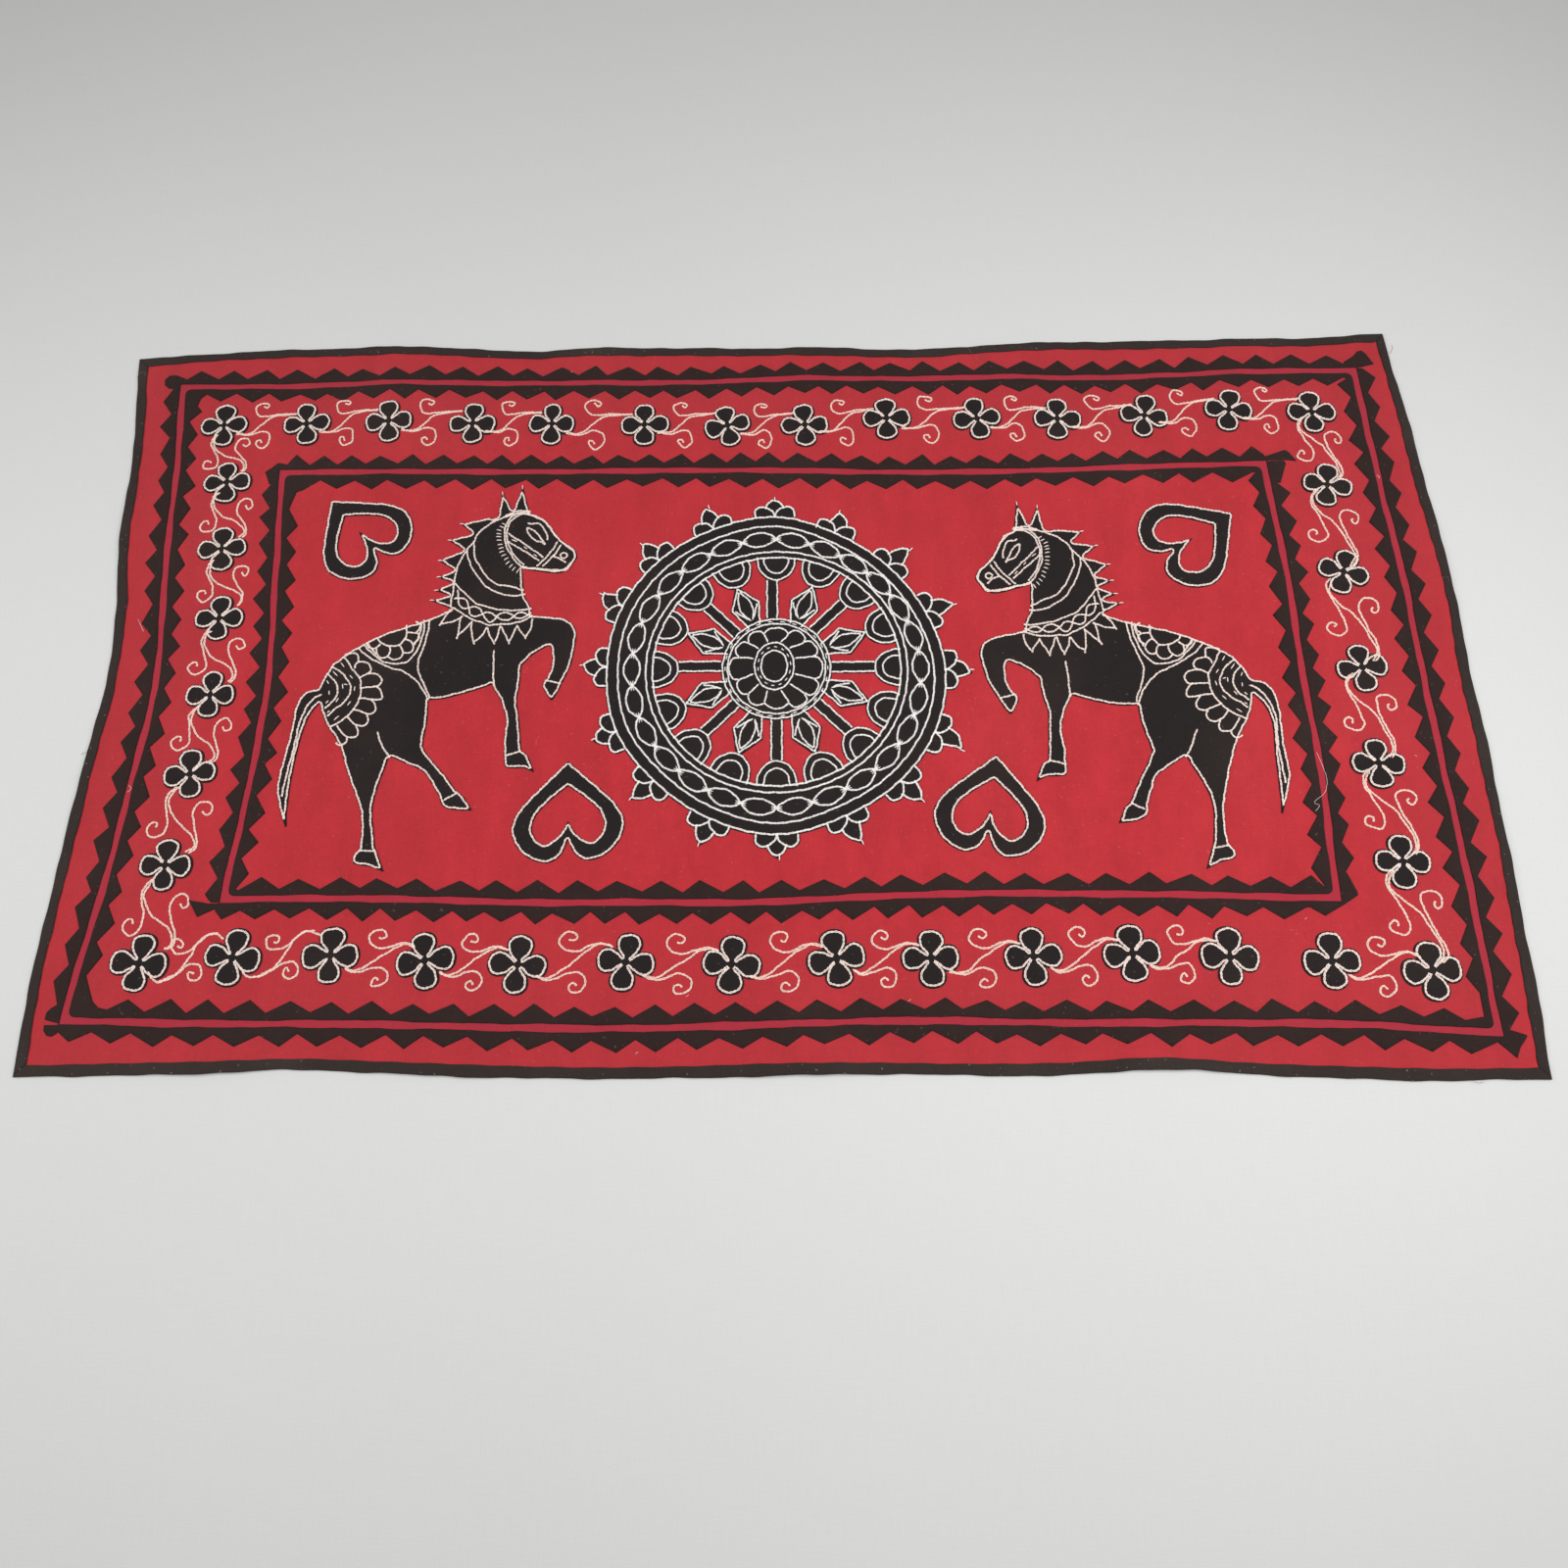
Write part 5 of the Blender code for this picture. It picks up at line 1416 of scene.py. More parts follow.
def inside_strip(outline_frame, teeth, insets, rng, seed):
    """The inner strip as a ring turned at the corners: its straight edge, then its toothed one."""
    sides = [Side(outline_frame, name) for name in SIDES]
    line, toothed = [], []
    for index, (name, side) in enumerate(zip(SIDES, sides)):
        after = sides[(index + 1) % len(sides)]
        bend_start, bend_end = LINE_HALF + LINE_BEND, side.length - LINE_HALF - LINE_BEND
        line += straight_edge(side, -1, bend_start, bend_end, seed + index)
        corner = after.at(LINE_HALF, -LINE_HALF)
        first, last = side.at(bend_end, -LINE_HALF), after.at(bend_start, -LINE_HALF)
        line += [curve_through(first, corner, last, share / BEND_STEPS) for share in range(1, BEND_STEPS)]
        toothed += [side.at(inset.along, -inset.depth) for inset in insets.get(name, ())]
        toothed += toothed_edge(side, -1, teeth[name], rng)
    return np.array(line), np.array(toothed)


def curve_through(first, corner, last, t):
    """A soft bend from first to last that leans on the corner."""
    return first * (1 - t) ** 2 + corner * 2 * t * (1 - t) + last * t**2


def random_waves(rng, share, all_turns, size):
    """A sum of waves along a side, each of its own height and start."""
    return sum(
        rng.normal(0, size) * np.sin(share * math.pi * 2 * turns + rng.uniform(0, WAVE_START))
        for turns in all_turns
    )


def tail(outline_frame, name):
    """What an outer strip has past a corner of its frame."""
    shape = TAILS[name]
    side = Side(outline_frame, shape.side)
    start = side.length if shape.at_end else 0.0
    way = 1 if shape.at_end else -1
    return np.array([side.at(start + way * past, out) for past, out in shape.points])


def petal_line(flower, reach, petal, rng):
    """The stitched line round one petal, from one notch to the next."""
    lean, wide = rng.gauss(0, PETAL_LEAN), 1 + rng.gauss(0, PETAL_WIDE_SLIP)
    long = 1 + rng.gauss(0, PETAL_LONG_SLIP)
    half = np.array([(p.along * long, p.aside * wide) for p in PETAL_HALF]) * reach
    whole = np.vstack([half * (1, -1), half[-2::-1]])
    line = smooth(whole, 5)
    return turned(line, flower.turn + 360 / PETAL_COUNT * petal + lean) + (flower.x, flower.y)


def flower_plan(flower, reach, seed):
    """A flower's stitched line, and its cut shapes round it."""
    rng = random.Random(seed)
    petals = [petal_line(flower, reach, petal, rng) for petal in range(PETAL_COUNT)]
    shapes = []
    for line in petals:
        ring = counter_clockwise(line)
        runs = unit(np.roll(ring, -1, axis=0) - np.roll(ring, 1, axis=0))
        margin = PETAL_MARGIN + PETAL_MARGIN_SLIP * rng.random()
        shapes.append(Shape(ring + np.column_stack([runs[:, 1], -runs[:, 0]]) * margin, False))
    middle = (flower.x, flower.y)
    shapes.append(Shape(polar(HUB_OF_FLOWER, np.arange(0, 360, HUB_OF_FLOWER_STEP)) + middle, False))
    stitched = []
    for petal, line in enumerate(petals):
        bearing = flower.turn + 360 / PETAL_COUNT * (petal + 0.5)
        stitched += [line, turned((NOTCH_AT * reach, 0), bearing) + middle]
    return np.vstack(stitched), shapes


def heart_ring(heart, half):
    """A closed heart outline from half of it."""
    side = smooth(half, 5)
    whole = np.vstack([side, side[-2:0:-1] * (1, -1)])
    return turned(whole * (1, heart.wide), heart.bearing) + (heart.tip_x, heart.tip_y)


def mirrored(side):
    """A closed ring from its lower side, turned over, and then its upper."""
    return [(x, -y) for x, y in side] + list(reversed(side))


def rim_radius(bearing):
    """The rim's outer radius at a bearing, smooth from bud to bud."""
    place = (90 - bearing) / 360 * len(BUDS)
    first = math.floor(place)
    near = (BUDS[(first + k) % len(BUDS)].rim for k in (-1, 0, 1, 2))
    return curve_between(*near, place - first)


def wheel_bearings():
    """Each bud with the bearing of its spoke."""
    return [(90 - 360 * index / len(BUDS), index, bud) for index, bud in enumerate(BUDS)]


def wheel_ring(radius_at, steps):
    """A ring round the wheel's middle, with a radius for each bearing."""
    bearings = np.arange(steps) * 360 / steps
    return polar(np.array([radius_at(b) for b in bearings]), bearings) + WHEEL_CENTRE


def on_spoke(points, bearing, aside=0.0):
    """Points of a pattern along +X, laid along a spoke of the wheel."""
    return turned(np.array(points, float) + (0, aside), bearing) + WHEEL_CENTRE


def lobe_line(half, reach, foot):
    """A lobe that hangs from the rim towards the hub, from foot to foot."""
    angles = [math.pi * i / LOBE_STEPS for i in range(LOBE_STEPS + 1)]
    arc = [(RIM_INSIDE - (RIM_INSIDE - reach) * math.sin(angle), -half * math.cos(angle)) for angle in angles]
    return [(foot, -half), *arc, (foot, half)]


def leaf_half(margin=0.0):
    """Half of a leaf-shaped spoke, drawn in by a margin."""
    foot, shoulder, tip = (share * margin for share in LEAF_MARGINS)
    return (
        (HUB_RADIUS - foot, LEAF_BASE_HALF - margin), (LEAF_SHOULDER_AT, LEAF_SHOULDER_HALF - shoulder),
        (LEAF_TIP_AT - tip, max(LEAF_TIP_HALF - margin, 0)),
    )


def bud_scallops(bud, bearing, margin):
    """The two scallops at a bud's foot, as smooth lines."""
    lean = bearing + BUD_LEAN * (bud.bearing - bearing)
    lines = []
    for way in (-1, 1):
        points = [
            (bud.rim + past - past_share * margin, way * (aside - aside_share * margin))
            for past, past_share, aside, aside_share in BUD_SCALLOP
        ]
        lines.append(on_spoke(smooth(points, 5), lean))
    return lines


def bud_petal(bud, bearing, margin):
    """The pointed petal of a bud, from scallop to scallop over its tip."""
    lean = bearing + BUD_LEAN * (bud.bearing - bearing)
    tip = polar(bud.reach - BUD_TIP_MARGIN * margin, bud.bearing) + WHEEL_CENTRE
    foot, half = bud.rim + BUD_SCALLOP_PAST - BUD_FOOT_IN, BUD_BELLY_HALF - BUD_BELLY_MARGIN * margin
    belly = (bud.rim + BUD_SCALLOP_PAST + bud.reach) / 2 - BUD_BELLY_IN
    sides = [on_spoke([(foot, way * BUD_FOOT_HALF), (belly, way * half)], lean) for way in (-1, 1)]
    first = smooth([*sides[0], tip], 5)
    second = smooth([tip, *sides[1][::-1]], 5)
    return np.vstack([first, second[1:]])


def wheel_shapes():
    """The wheel's rim, hub, bars, leaves, lobes and buds, in cutting order."""
    into_rim, into_hub = RIM_INSIDE + RIM_OVERLAP, HUB_RADIUS - RIM_OVERLAP
    shapes = [
        Shape(wheel_ring(rim_radius, RIM_STEPS), False),
        Shape(wheel_ring(lambda _: RIM_INSIDE, RIM_STEPS), True),
        Shape(wheel_ring(lambda _: HUB_RADIUS, HUB_STEPS), False),
    ]
    bar = mirrored(((into_hub, BAR_HALF), (LEAF_TIP_AT, BAR_HALF)))
    leaf = mirrored(((into_hub, LEAF_BASE_HALF), *leaf_half()))
    for bearing, index, bud in wheel_bearings():
        shapes.append(Shape(on_spoke(lobe_line(LOBE_HALF, LOBE_REACH, into_rim), bearing), False))
        shapes.append(Shape(on_spoke(bar if index % 2 == 0 else leaf, bearing, bud.aside), False))
        foot = on_spoke(((bud.rim - RIM_OVERLAP, 0),), bearing)
        for line in bud_scallops(bud, bearing, 0.0):
            shapes.append(Shape(np.vstack([line, foot]), False))
        shapes.append(Shape(np.vstack([bud_petal(bud, bearing, 0.0), foot]), False))
    return shapes


def between(first, second):
    """A closed ring between two smooth edges that run the same way."""
    return np.vstack([smooth(first), smooth(second)[::-1]])


def horse_rings():
    """The horse's parts as overlapping rings, in its own plan."""
    rings = [between([(s.x, s.top) for s in TRUNK], [(s.x, s.belly) for s in TRUNK])]
    for levels in (HAUNCH, HIND_LEG, FORE_LEG, NECK):
        rings.append(between([(s.back, s.y) for s in levels], [(s.front, s.y) for s in levels]))
    hooves = (HIND_HOOF, STEPPING_HOOF, FORE_HOOF, RAISED_HOOF)
    for pairs in (STEPPING_LEG, RAISED_LEG, *hooves, TAIL, HEAD):
        rings.append(between([(s.x1, s.y1) for s in pairs], [(s.x2, s.y2) for s in pairs]))
    rings += [spike_ring(spike, MANE_ROOT) for spike in MANE]
    rings += [spike_ring(spike, EAR_ROOT) for spike in EARS]
    return rings


def spike_ring(spike, root):
    """A pointed spike whose foot reaches into the body by the root."""
    first, last = np.array((spike.root_x, spike.root_y), float), np.array((spike.end_x, spike.end_y), float)
    return np.array([first, (spike.tip_x, spike.tip_y), last, (first + last) / 2 + root])


def place_horse(points, placed):
    """Points of the horse's pattern where they lie on the panel."""
    places = np.array(points, float)
    if placed.mirrored:
        places = places * (-1, 1)
    spots = turned(places * placed.size, placed.turn) + (placed.x, placed.y)
    total = np.full(len(spots), SLIP_HOLD)
    stray = np.zeros_like(spots)
    for slip in placed.slips:
        distance = np.linalg.norm(spots - (slip.x, slip.y), axis=1)
        weight = np.exp(-((distance / SLIP_FADE) ** 2))
        total += weight
        stray += weight[:, None] * (slip.right, slip.up)
    return spots + stray / total[:, None]


def horse_dashes():
    """The short strokes of the fringe, the harness and the rump: pairs of ends."""
    pairs = []
    for start in FRINGE:
        run = np.array(FRINGE_AIM) - start
        pairs.append((start, start + run / np.linalg.norm(run) * FRINGE_LONG))
    pairs += [((x1, y1), (x2, y2)) for x1, y1, x2, y2 in (*STRAP_DASHES, *RUMP_DASHES)]
    return pairs


def spike_tip(spike):
    """A stitch that runs out over the tip of a lock or an ear."""
    tip = np.array((spike.tip_x, spike.tip_y), float)
    root = np.array((spike.root_x + spike.end_x, spike.root_y + spike.end_y), float) / 2
    way = (root - tip) / np.linalg.norm(root - tip)
    return tip - way * SPIKE_TIP_OUT, tip + way * SPIKE_TIP_IN


def tendril_pairs():
    """The flowers between which each tendril grows, in the order in which it runs, and its motif."""
    rows = {side: list(row) for side, row in FLOWERS.items()}
    for side, corner in {"left": 0, "right": -1}.items():
        rows[side] = [FLOWERS["top"][corner], *rows[side], FLOWERS["bottom"][corner]]
    grown = []
    for side, row in rows.items():
        for index, (start, end) in enumerate(zip(row, row[1:])):
            motif = TENDRILS[side]
            if side == "bottom" and index < BOTTOM_START_GAPS:
                motif = TENDRILS["bottom_start"]
            if (side, index) != UNJOINED:
                grown.append((start, end, motif))
    return grown


# ---------------------------------------------------------------------------------------
# Finishes
# ---------------------------------------------------------------------------------------


class Shade:
    """A value or colour in a finish. A sum of values adds its Math nodes."""

    def __init__(self, finish, socket):
        self.finish, self.socket = finish, socket

    def math(self, operation, *terms):
        return self.finish.node("ShaderNodeMath", {"operation": operation}, dict(enumerate(terms)))

    def __add__(self, other):
        return self.math("ADD", self, other)

    def __radd__(self, other):
        return self.math("ADD", other, self)

    def __sub__(self, other):
        return self.math("SUBTRACT", self, other)

    def __rsub__(self, other):
        return self.math("SUBTRACT", other, self)

    def __mul__(self, other):
        return self.math("MULTIPLY", self, other)

    def __rmul__(self, other):
        return self.math("MULTIPLY", other, self)

    def __abs__(self):
        return self.math("ABSOLUTE", self)

    def sine(self):
        return self.math("SINE", self)


class Finish:
    """One material, built node by node."""

    def __init__(self, name):
        self.material = bpy.data.materials.new(name)
        self.material.use_nodes = True
        self.tree = self.material.node_tree
        self.shader = self.tree.nodes["Principled BSDF"]
        self.place = self.node("ShaderNodeTexCoord", output="Object")

    def node(self, kind, settings=None, inputs=None, output=0):
        """Adds a node: its settings first, then a value or a link for each of its sockets."""
        made = self.tree.nodes.new(kind)
        for key, value in (settings or {}).items():
            setattr(made, key, value)
        for key, value in (inputs or {}).items():
            self.plug(made.inputs[key], value)
        return Shade(self, made.outputs[output])

    def plug(self, socket, value):
        if isinstance(value, Shade):
            self.tree.links.new(value.socket, socket)
        else:
            socket.default_value = value

    def stretched(self, x, y, z):
        """The place on the cloth, in units of its own along each axis."""
        return self.node("ShaderNodeVectorMath", {"operation": "MULTIPLY"}, {0: self.place, 1: (x, y, z)})

    def noise(self, scale, detail=2.0, place=None, rough=0.5):
        inputs = {"Vector": place or self.place, "Scale": scale, "Detail": detail, "Roughness": rough}
        return self.node("ShaderNodeTexNoise", None, inputs)

    def fade(self, value, low, high):
        """0 below low, 1 above high, and soft between."""
        inputs = {"Value": value, "From Min": low, "From Max": high}
        return self.node("ShaderNodeMapRange", {"interpolation_type": "SMOOTHSTEP"}, inputs)

    def mix(self, share, first, second):
        return self.node("ShaderNodeMix", {"data_type": "RGBA"}, {0: share, 6: first, 7: second}, 2)

    def lit(self, colour, value):
        """A colour made lighter or darker by a value."""
        return self.node("ShaderNodeVectorMath", {"operation": "SCALE"}, {0: colour, "Scale": value})

    def attribute(self, name):
        return self.node("ShaderNodeAttribute", {"attribute_name": name}, output="Fac")

    def bump(self, height, distance, strength=1.0, normal=None):
        inputs = {"Height": height, "Distance": distance, "Strength": strength}
        if normal:
            inputs["Normal"] = normal
        return self.node("ShaderNodeBump", None, inputs)

    def wear(self, **sockets):
        """Sets the shader's sockets, each named with _ for a space."""
        for key, value in sockets.items():
            self.plug(self.shader.inputs[key.replace("_", " ")], value)


def rgb(colour):
    return (*colour, 1.0)


def weave(finish, pitch):
    """The height of a plain weave: each yarn over one and under the next."""
    axes = finish.node("ShaderNodeSeparateXYZ", None, {0: finish.place})
    x = axes
    y = Shade(finish, axes.socket.node.outputs["Y"])
    warp, weft = (x * (math.pi / pitch)).sine(), (y * (math.pi / pitch)).sine()
    crossing = warp * weft
    return abs(warp) * (crossing * 0.5 + 0.5) + abs(weft) * (0.5 - crossing * 0.5)


def slubs(finish, across, along):
    """Thick places in the yarns, long along the warp and the weft."""
    warp = finish.noise(1.0, 2.0, finish.stretched(across, along, along))
    weft = finish.noise(1.0, 2.0, finish.stretched(along, across, along))
    return warp + weft - 1.0


def add_cotton(name, colour, look):
    """Hand-woven cotton: weave, slubs, uneven dye, faded patches, lint and a darker, greyer border; painted
    shade in the weave's hollows, in long streaks for creases and along cut edges; and a deeper crimson
    between the strips, partly painted shade and partly dye less faded."""
    finish = Finish(name)
    yarns = weave(finish, look.pitch)
    slub = slubs(finish, *SLUB_SCALES)
    mottle = finish.noise(look.mottle_scale, 4.0, rough=0.6) - 0.5
    patch = finish.fade(finish.noise(PATCH_SCALE, 3.0), *PATCH_FADE)
    # The weave's height also sets the colour: painted shade, darker in the hollows between the yarns and
    # lighter on their crowns.
    shade = 1.0 + slub * look.slub + mottle * look.mottle + (yarns - WEAVE_MEAN) * look.relief
    # Painted shade: long soft darker and lighter streaks that stand in for the shading of creases in the red
    # cloth.
    if look.streak:
        shade = shade + (finish.noise(1.0, 3.0, finish.stretched(*CREASE_SHADE_SCALES), 0.6) - 0.5) * look.streak
    dyed = finish.mix(patch * look.faded, rgb(colour), rgb(look.worn))
    grain = finish.noise(GRAIN_SCALE, 3.0, rough=0.7)
    dyed = finish.lit(dyed, shade + (grain - 0.5) * look.grain)
    specks = finish.fade(finish.noise(SPECK_SCALE, 1.0), *SPECK_FADE)
    dyed = finish.mix(specks * look.lint, dyed, rgb(look.lint_colour))
    if look.border_shade:
        border = 1.0 - finish.fade(finish.attribute("depth"), *BORDER_FADES)
        dyed = finish.lit(dyed, 1.0 - border * look.border_shade)
        dyed = finish.mix(border * BORDER_GREY_SHARE, dyed, rgb(BORDER_GREY_RED))
        # Partly painted shade: the ground between the strips turns a deeper crimson, partly for the shade of
        # the strips' edges and partly for dye less faded.
        dyed = finish.mix(finish.attribute("between") * SHADED_LINE_SHARE, dyed, rgb(SHADED_LINE_COLOUR))
    # Painted shade: the black cloth and the binding darkened within about a millimetre of their cut and
    # folded edges, where the edge rounds down.
    if look.worn_edge:
        edge = 1.0 - finish.fade(finish.attribute("depth"), *EDGE_SHADE_FADE)
        dyed = finish.mix(edge * look.worn_edge, dyed, rgb(look.edge_colour))
    height = yarns + slub * SLUB_HEIGHT + grain * GRAIN_HEIGHT
    finish.wear(
        Base_Color=dyed, Roughness=0.86 + mottle * 0.12, Normal=finish.bump(height, look.height, 0.6),
        Sheen_Weight=look.sheen, Sheen_Roughness=0.5, Specular_IOR_Level=0.18,
    )
    return finish


def add_thread(name, colour, shadow):
    """Soft cotton thread: each stitch of its own tone, with fibres and grey handling."""
    finish = Finish(name)
    tone = finish.attribute("tone")
    fibres = finish.noise(1.0, 3.0, finish.stretched(*FIBRE_SCALES), 0.7)
    soiled = finish.fade(finish.noise(SOIL_SCALE, 3.0), *SOIL_FADE)
    dyed = finish.mix(soiled * SOIL_SHARE, rgb(colour), rgb(shadow))
    dyed = finish.lit(dyed, 0.94 + tone * 0.12 + (fibres - 0.5) * 0.16)
    finish.wear(
        Base_Color=dyed, Roughness=0.82 + (fibres - 0.5) * 0.2, Normal=finish.bump(fibres, 0.00015, 0.4),
        Sheen_Weight=0.5, Sheen_Roughness=0.6, Specular_IOR_Level=0.25,
    )
    return finish


def add_floor_cloth(name, colour):
    """A pale, plain studio floor with a faint woven grain."""
    finish = Finish(name)
    grain = finish.noise(FLOOR_GRAIN_SCALE, 3.0) - 0.5
    cloud = finish.noise(FLOOR_CLOUD_SCALE, 2.0) - 0.5
    threads = slubs(finish, *FLOOR_SLUB_SCALES)
    shade = 1.0 + grain * 0.07 + cloud * 0.05 + threads * 0.05
    finish.wear(
        Base_Color=finish.lit(tuple(colour), shade), Roughness=0.92 + grain * 0.05,
        Normal=finish.bump(threads + grain, 0.00015, 0.5), Specular_IOR_Level=0.1,
    )
    return finish


# ---------------------------------------------------------------------------------------
# Settings
# ---------------------------------------------------------------------------------------


def colour_setting(name, description, default):
    return FloatVectorProperty(
        name=name, description=description, default=default, size=3, min=0.0, max=1.0, subtype="COLOR"
    )


def length_setting(name, description, default):
    return FloatProperty(
        name=name, description=description, default=default, min=0.0, unit="LENGTH", subtype="DISTANCE"
    )


class TapestryColours(bpy.types.PropertyGroup):
    """The colours that the cloth and threads were dyed."""

    red_cotton: colour_setting("Red cotton", "Ground panel", (0.512, 0.0286, 0.0378))
    black_cotton: colour_setting("Black cotton", "Appliques", (0.0175, 0.0130, 0.0128))
    strip_cotton: colour_setting("Strip cotton", "Toothed strips", (0.0290, 0.0155, 0.0135))
    binding_cotton: colour_setting("Binding cotton", "Folded edge strips", (0.034, 0.024, 0.021))
    cream_thread: colour_setting(
        "Cream thread", "Chain stitch on the flowers, hearts and horses", (1.0, 0.83, 0.755),
    )
    white_thread: colour_setting("White thread", "Chain stitch on the wheel", (1.0, 0.945, 0.905))
    pink_thread: colour_setting("Pink thread", "Tendrils between the flowers", (1.0, 0.73, 0.62))
    floor: colour_setting("Floor", "Studio floor", (0.72, 0.72, 0.715))


class TapestrySizes(bpy.types.PropertyGroup):
    """The sizes of the stitches and of the cloth's mesh."""

    stitch: length_setting("Stitch", "Length of one chain stitch", 0.0042)
    loop: length_setting("Loop", "Half the width of a chain stitch, to the middle of its strands", 0.00064)
    strand: length_setting("Strand", "Radius of a strand of thread", 0.00056)
    cloth_cell: length_setting("Cloth cell", "Size of the ground panel's mesh cells", 0.0064)
    dimple: length_setting("Fullness", "How far a sewn piece stands full in its middle", 0.00025)


def sizes(context):
    return context.scene.tapestry_sizes


def cut_black(context, name, shapes, steps):
    """A piece of black cotton in the place of the part of its name."""
    dimple = sizes(context).dimple / MM
    piece = add_cut_cloth(f"{name}_cloth", shapes, "black_cotton_cloth", steps, dimple)
    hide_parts(name)


def thread_for(context, seed, thick=1.0):
    set_to = sizes(context)
    return Thread(seed, set_to.loop / MM * thick, set_to.strand / MM * thick, set_to.stitch / MM)


# ---------------------------------------------------------------------------------------
# Operators
# ---------------------------------------------------------------------------------------


class TAPESTRY_OT_dye(bpy.types.Operator):
    """Dye the cottons and threads"""

    bl_idname = "tapestry.dye"
    bl_label = "Cloths and threads"

    def execute(self, context):
        colours = context.scene.tapestry_colours
        for name, look in COTTONS.items():
            add_cotton(f"{name}_cloth", getattr(colours, name), look)
        for name, (colour_name, shadow) in THREAD_DYES.items():
            add_thread(name, getattr(colours, colour_name), shadow)
        add_thread("pale_lint", LINT_COLOUR, LINT_SHADOW)
        add_floor_cloth("floor_cloth", colours.floor)
        return {"FINISHED"}


class TAPESTRY_OT_ground(bpy.types.Operator):
    """Weave the red ground panel"""

    bl_idname = "tapestry.ground"
    bl_label = "Ground panel"

    def execute(self, context):
        cell = sizes(context).cloth_cell / MM
        sides = {name: Side(EDGE, name) for name in SIDES}
        wide, high = sides["top"].length, sides["left"].length
        columns, rows = round(wide / cell), round(high / cell)
        u, v = np.linspace(0, 1, columns + 1), np.linspace(0, 1, rows + 1)
        top, bottom = sides["top"].at(u * wide), sides["bottom"].at((1 - u) * sides["bottom"].length)
        left, right = sides["left"].at((1 - v) * high), sides["right"].at(v * sides["right"].length)
        across, down = u[None, :, None], v[:, None, None]
        places = (1 - down) * top + down * bottom + (1 - across) * left[:, None] + across * right[:, None]
        places = places - (1 - down) * ((1 - across) * top[0] + across * top[-1])
        places = places - down * ((1 - across) * bottom[0] + across * bottom[-1])
        places = places.reshape(-1, 2)
        across_in, down_in = np.minimum(u, 1 - u)[None] * wide, np.minimum(v, 1 - v)[:, None] * high
        from_side = np.minimum(across_in, down_in).ravel()
        floor = lift(places) + RIM_LIFT * np.clip(1 - (from_side - RIM_FLAT) / RIM_FADE, 0, 1)
        grid = np.arange(len(places)).reshape(rows + 1, columns + 1)
        corners = (grid[:-1, :-1], grid[1:, :-1], grid[1:, 1:], grid[:-1, 1:])
        faces = np.column_stack([corner.ravel() for corner in corners])
        border = np.concatenate([grid[:, 0], grid[-1, 1:], grid[-2::-1, -1], grid[0, -2:0:-1]])
        border_edges = np.column_stack([border, np.roll(border, -1)])
        lower, upper = np.column_stack([places, floor]), np.column_stack([places, floor + GROUND_TOP])
        lines = [frame_ring(outline_frame) for outline_frame in FRAMES.values()]
        # Nearness to a frame's line, which paints shade on the ground between the strips and marks dye less
        # faded there.
        between = 1 - np.clip((depth_at(places, lines) - SHADED_LINE_FLAT) / SHADED_LINE_FADE, 0, 1)
        values = {"depth": np.r_[from_side, from_side], "between": np.r_[between, between]}
        piece = add_slab(
            "ground_panel_cloth", lower, upper, faces, border_edges, "red_cotton_cloth", values
        )
        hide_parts("ground_panel")
        return {"FINISHED"}


class TAPESTRY_OT_bindings(bpy.types.Operator):
    """Fold the bindings over the four edges"""

    bl_idname = "tapestry.bindings"
    bl_label = "Bindings"

    def execute(self, context):
        rng = np.random.default_rng(BINDING_SEED)
        profile = np.array(BINDING_FOLD)
        for name in SIDES:
            side = Side(EDGE, name)
            count = round(side.length / BINDING_STEP)
            share = np.linspace(0, 1, count + 1)
            wave = random_waves(rng, share, STRAY_TURNS, STRAY_SIZE)
            flutter = random_waves(rng, share, FLUTTER_TURNS, FLUTTER_SIZE)
            fray = sum(
                size * rng.uniform(*FRAY_SHARES)
                * np.sin(share * side.length / long + rng.uniform(0, WAVE_START))
                for long, size in FRAY_WAVES
            )
            fray = fray * np.clip(np.minimum(share, 1 - share) * side.length / FRAY_CLEAR, 0, 1)
            vertices = np.zeros((count + 1, len(profile), 3))
            for k, (inward, high) in enumerate(profile):
                shown = inward + np.where(inward > STRAY_FROM, wave, fray)
                stops = shown + (side.length - 2 * shown) * share
                places = side.at(stops, -shown)
                vertices[:, k, :2] = places
                vertices[:, k, 2] = lift(places) + RIM_LIFT + high + flutter * (high > FLUTTER_FROM)
            size = len(profile)
            steps, ring = np.meshgrid(np.arange(count), np.arange(size), indexing="ij")
            after = (ring + 1) % size
            quads = np.stack([
                steps * size + ring, steps * size + after,
                (steps + 1) * size + after, (steps + 1) * size + ring,
            ], axis=-1).reshape(-1, 4)
            ends = [np.arange(size)[::-1][None], (np.arange(size) + count * size)[None]]
            values = {"depth": np.tile(np.clip(BINDING_SHOWS - profile[:, 0], 0, None), count + 1)}
            piece = add_piece(
                f"binding_{name}_fold", vertices.reshape(-1, 3), [quads, *ends],
                "binding_cotton_cloth", values,
            )
            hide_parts(f"binding_{name}")
        return {"FINISHED"}


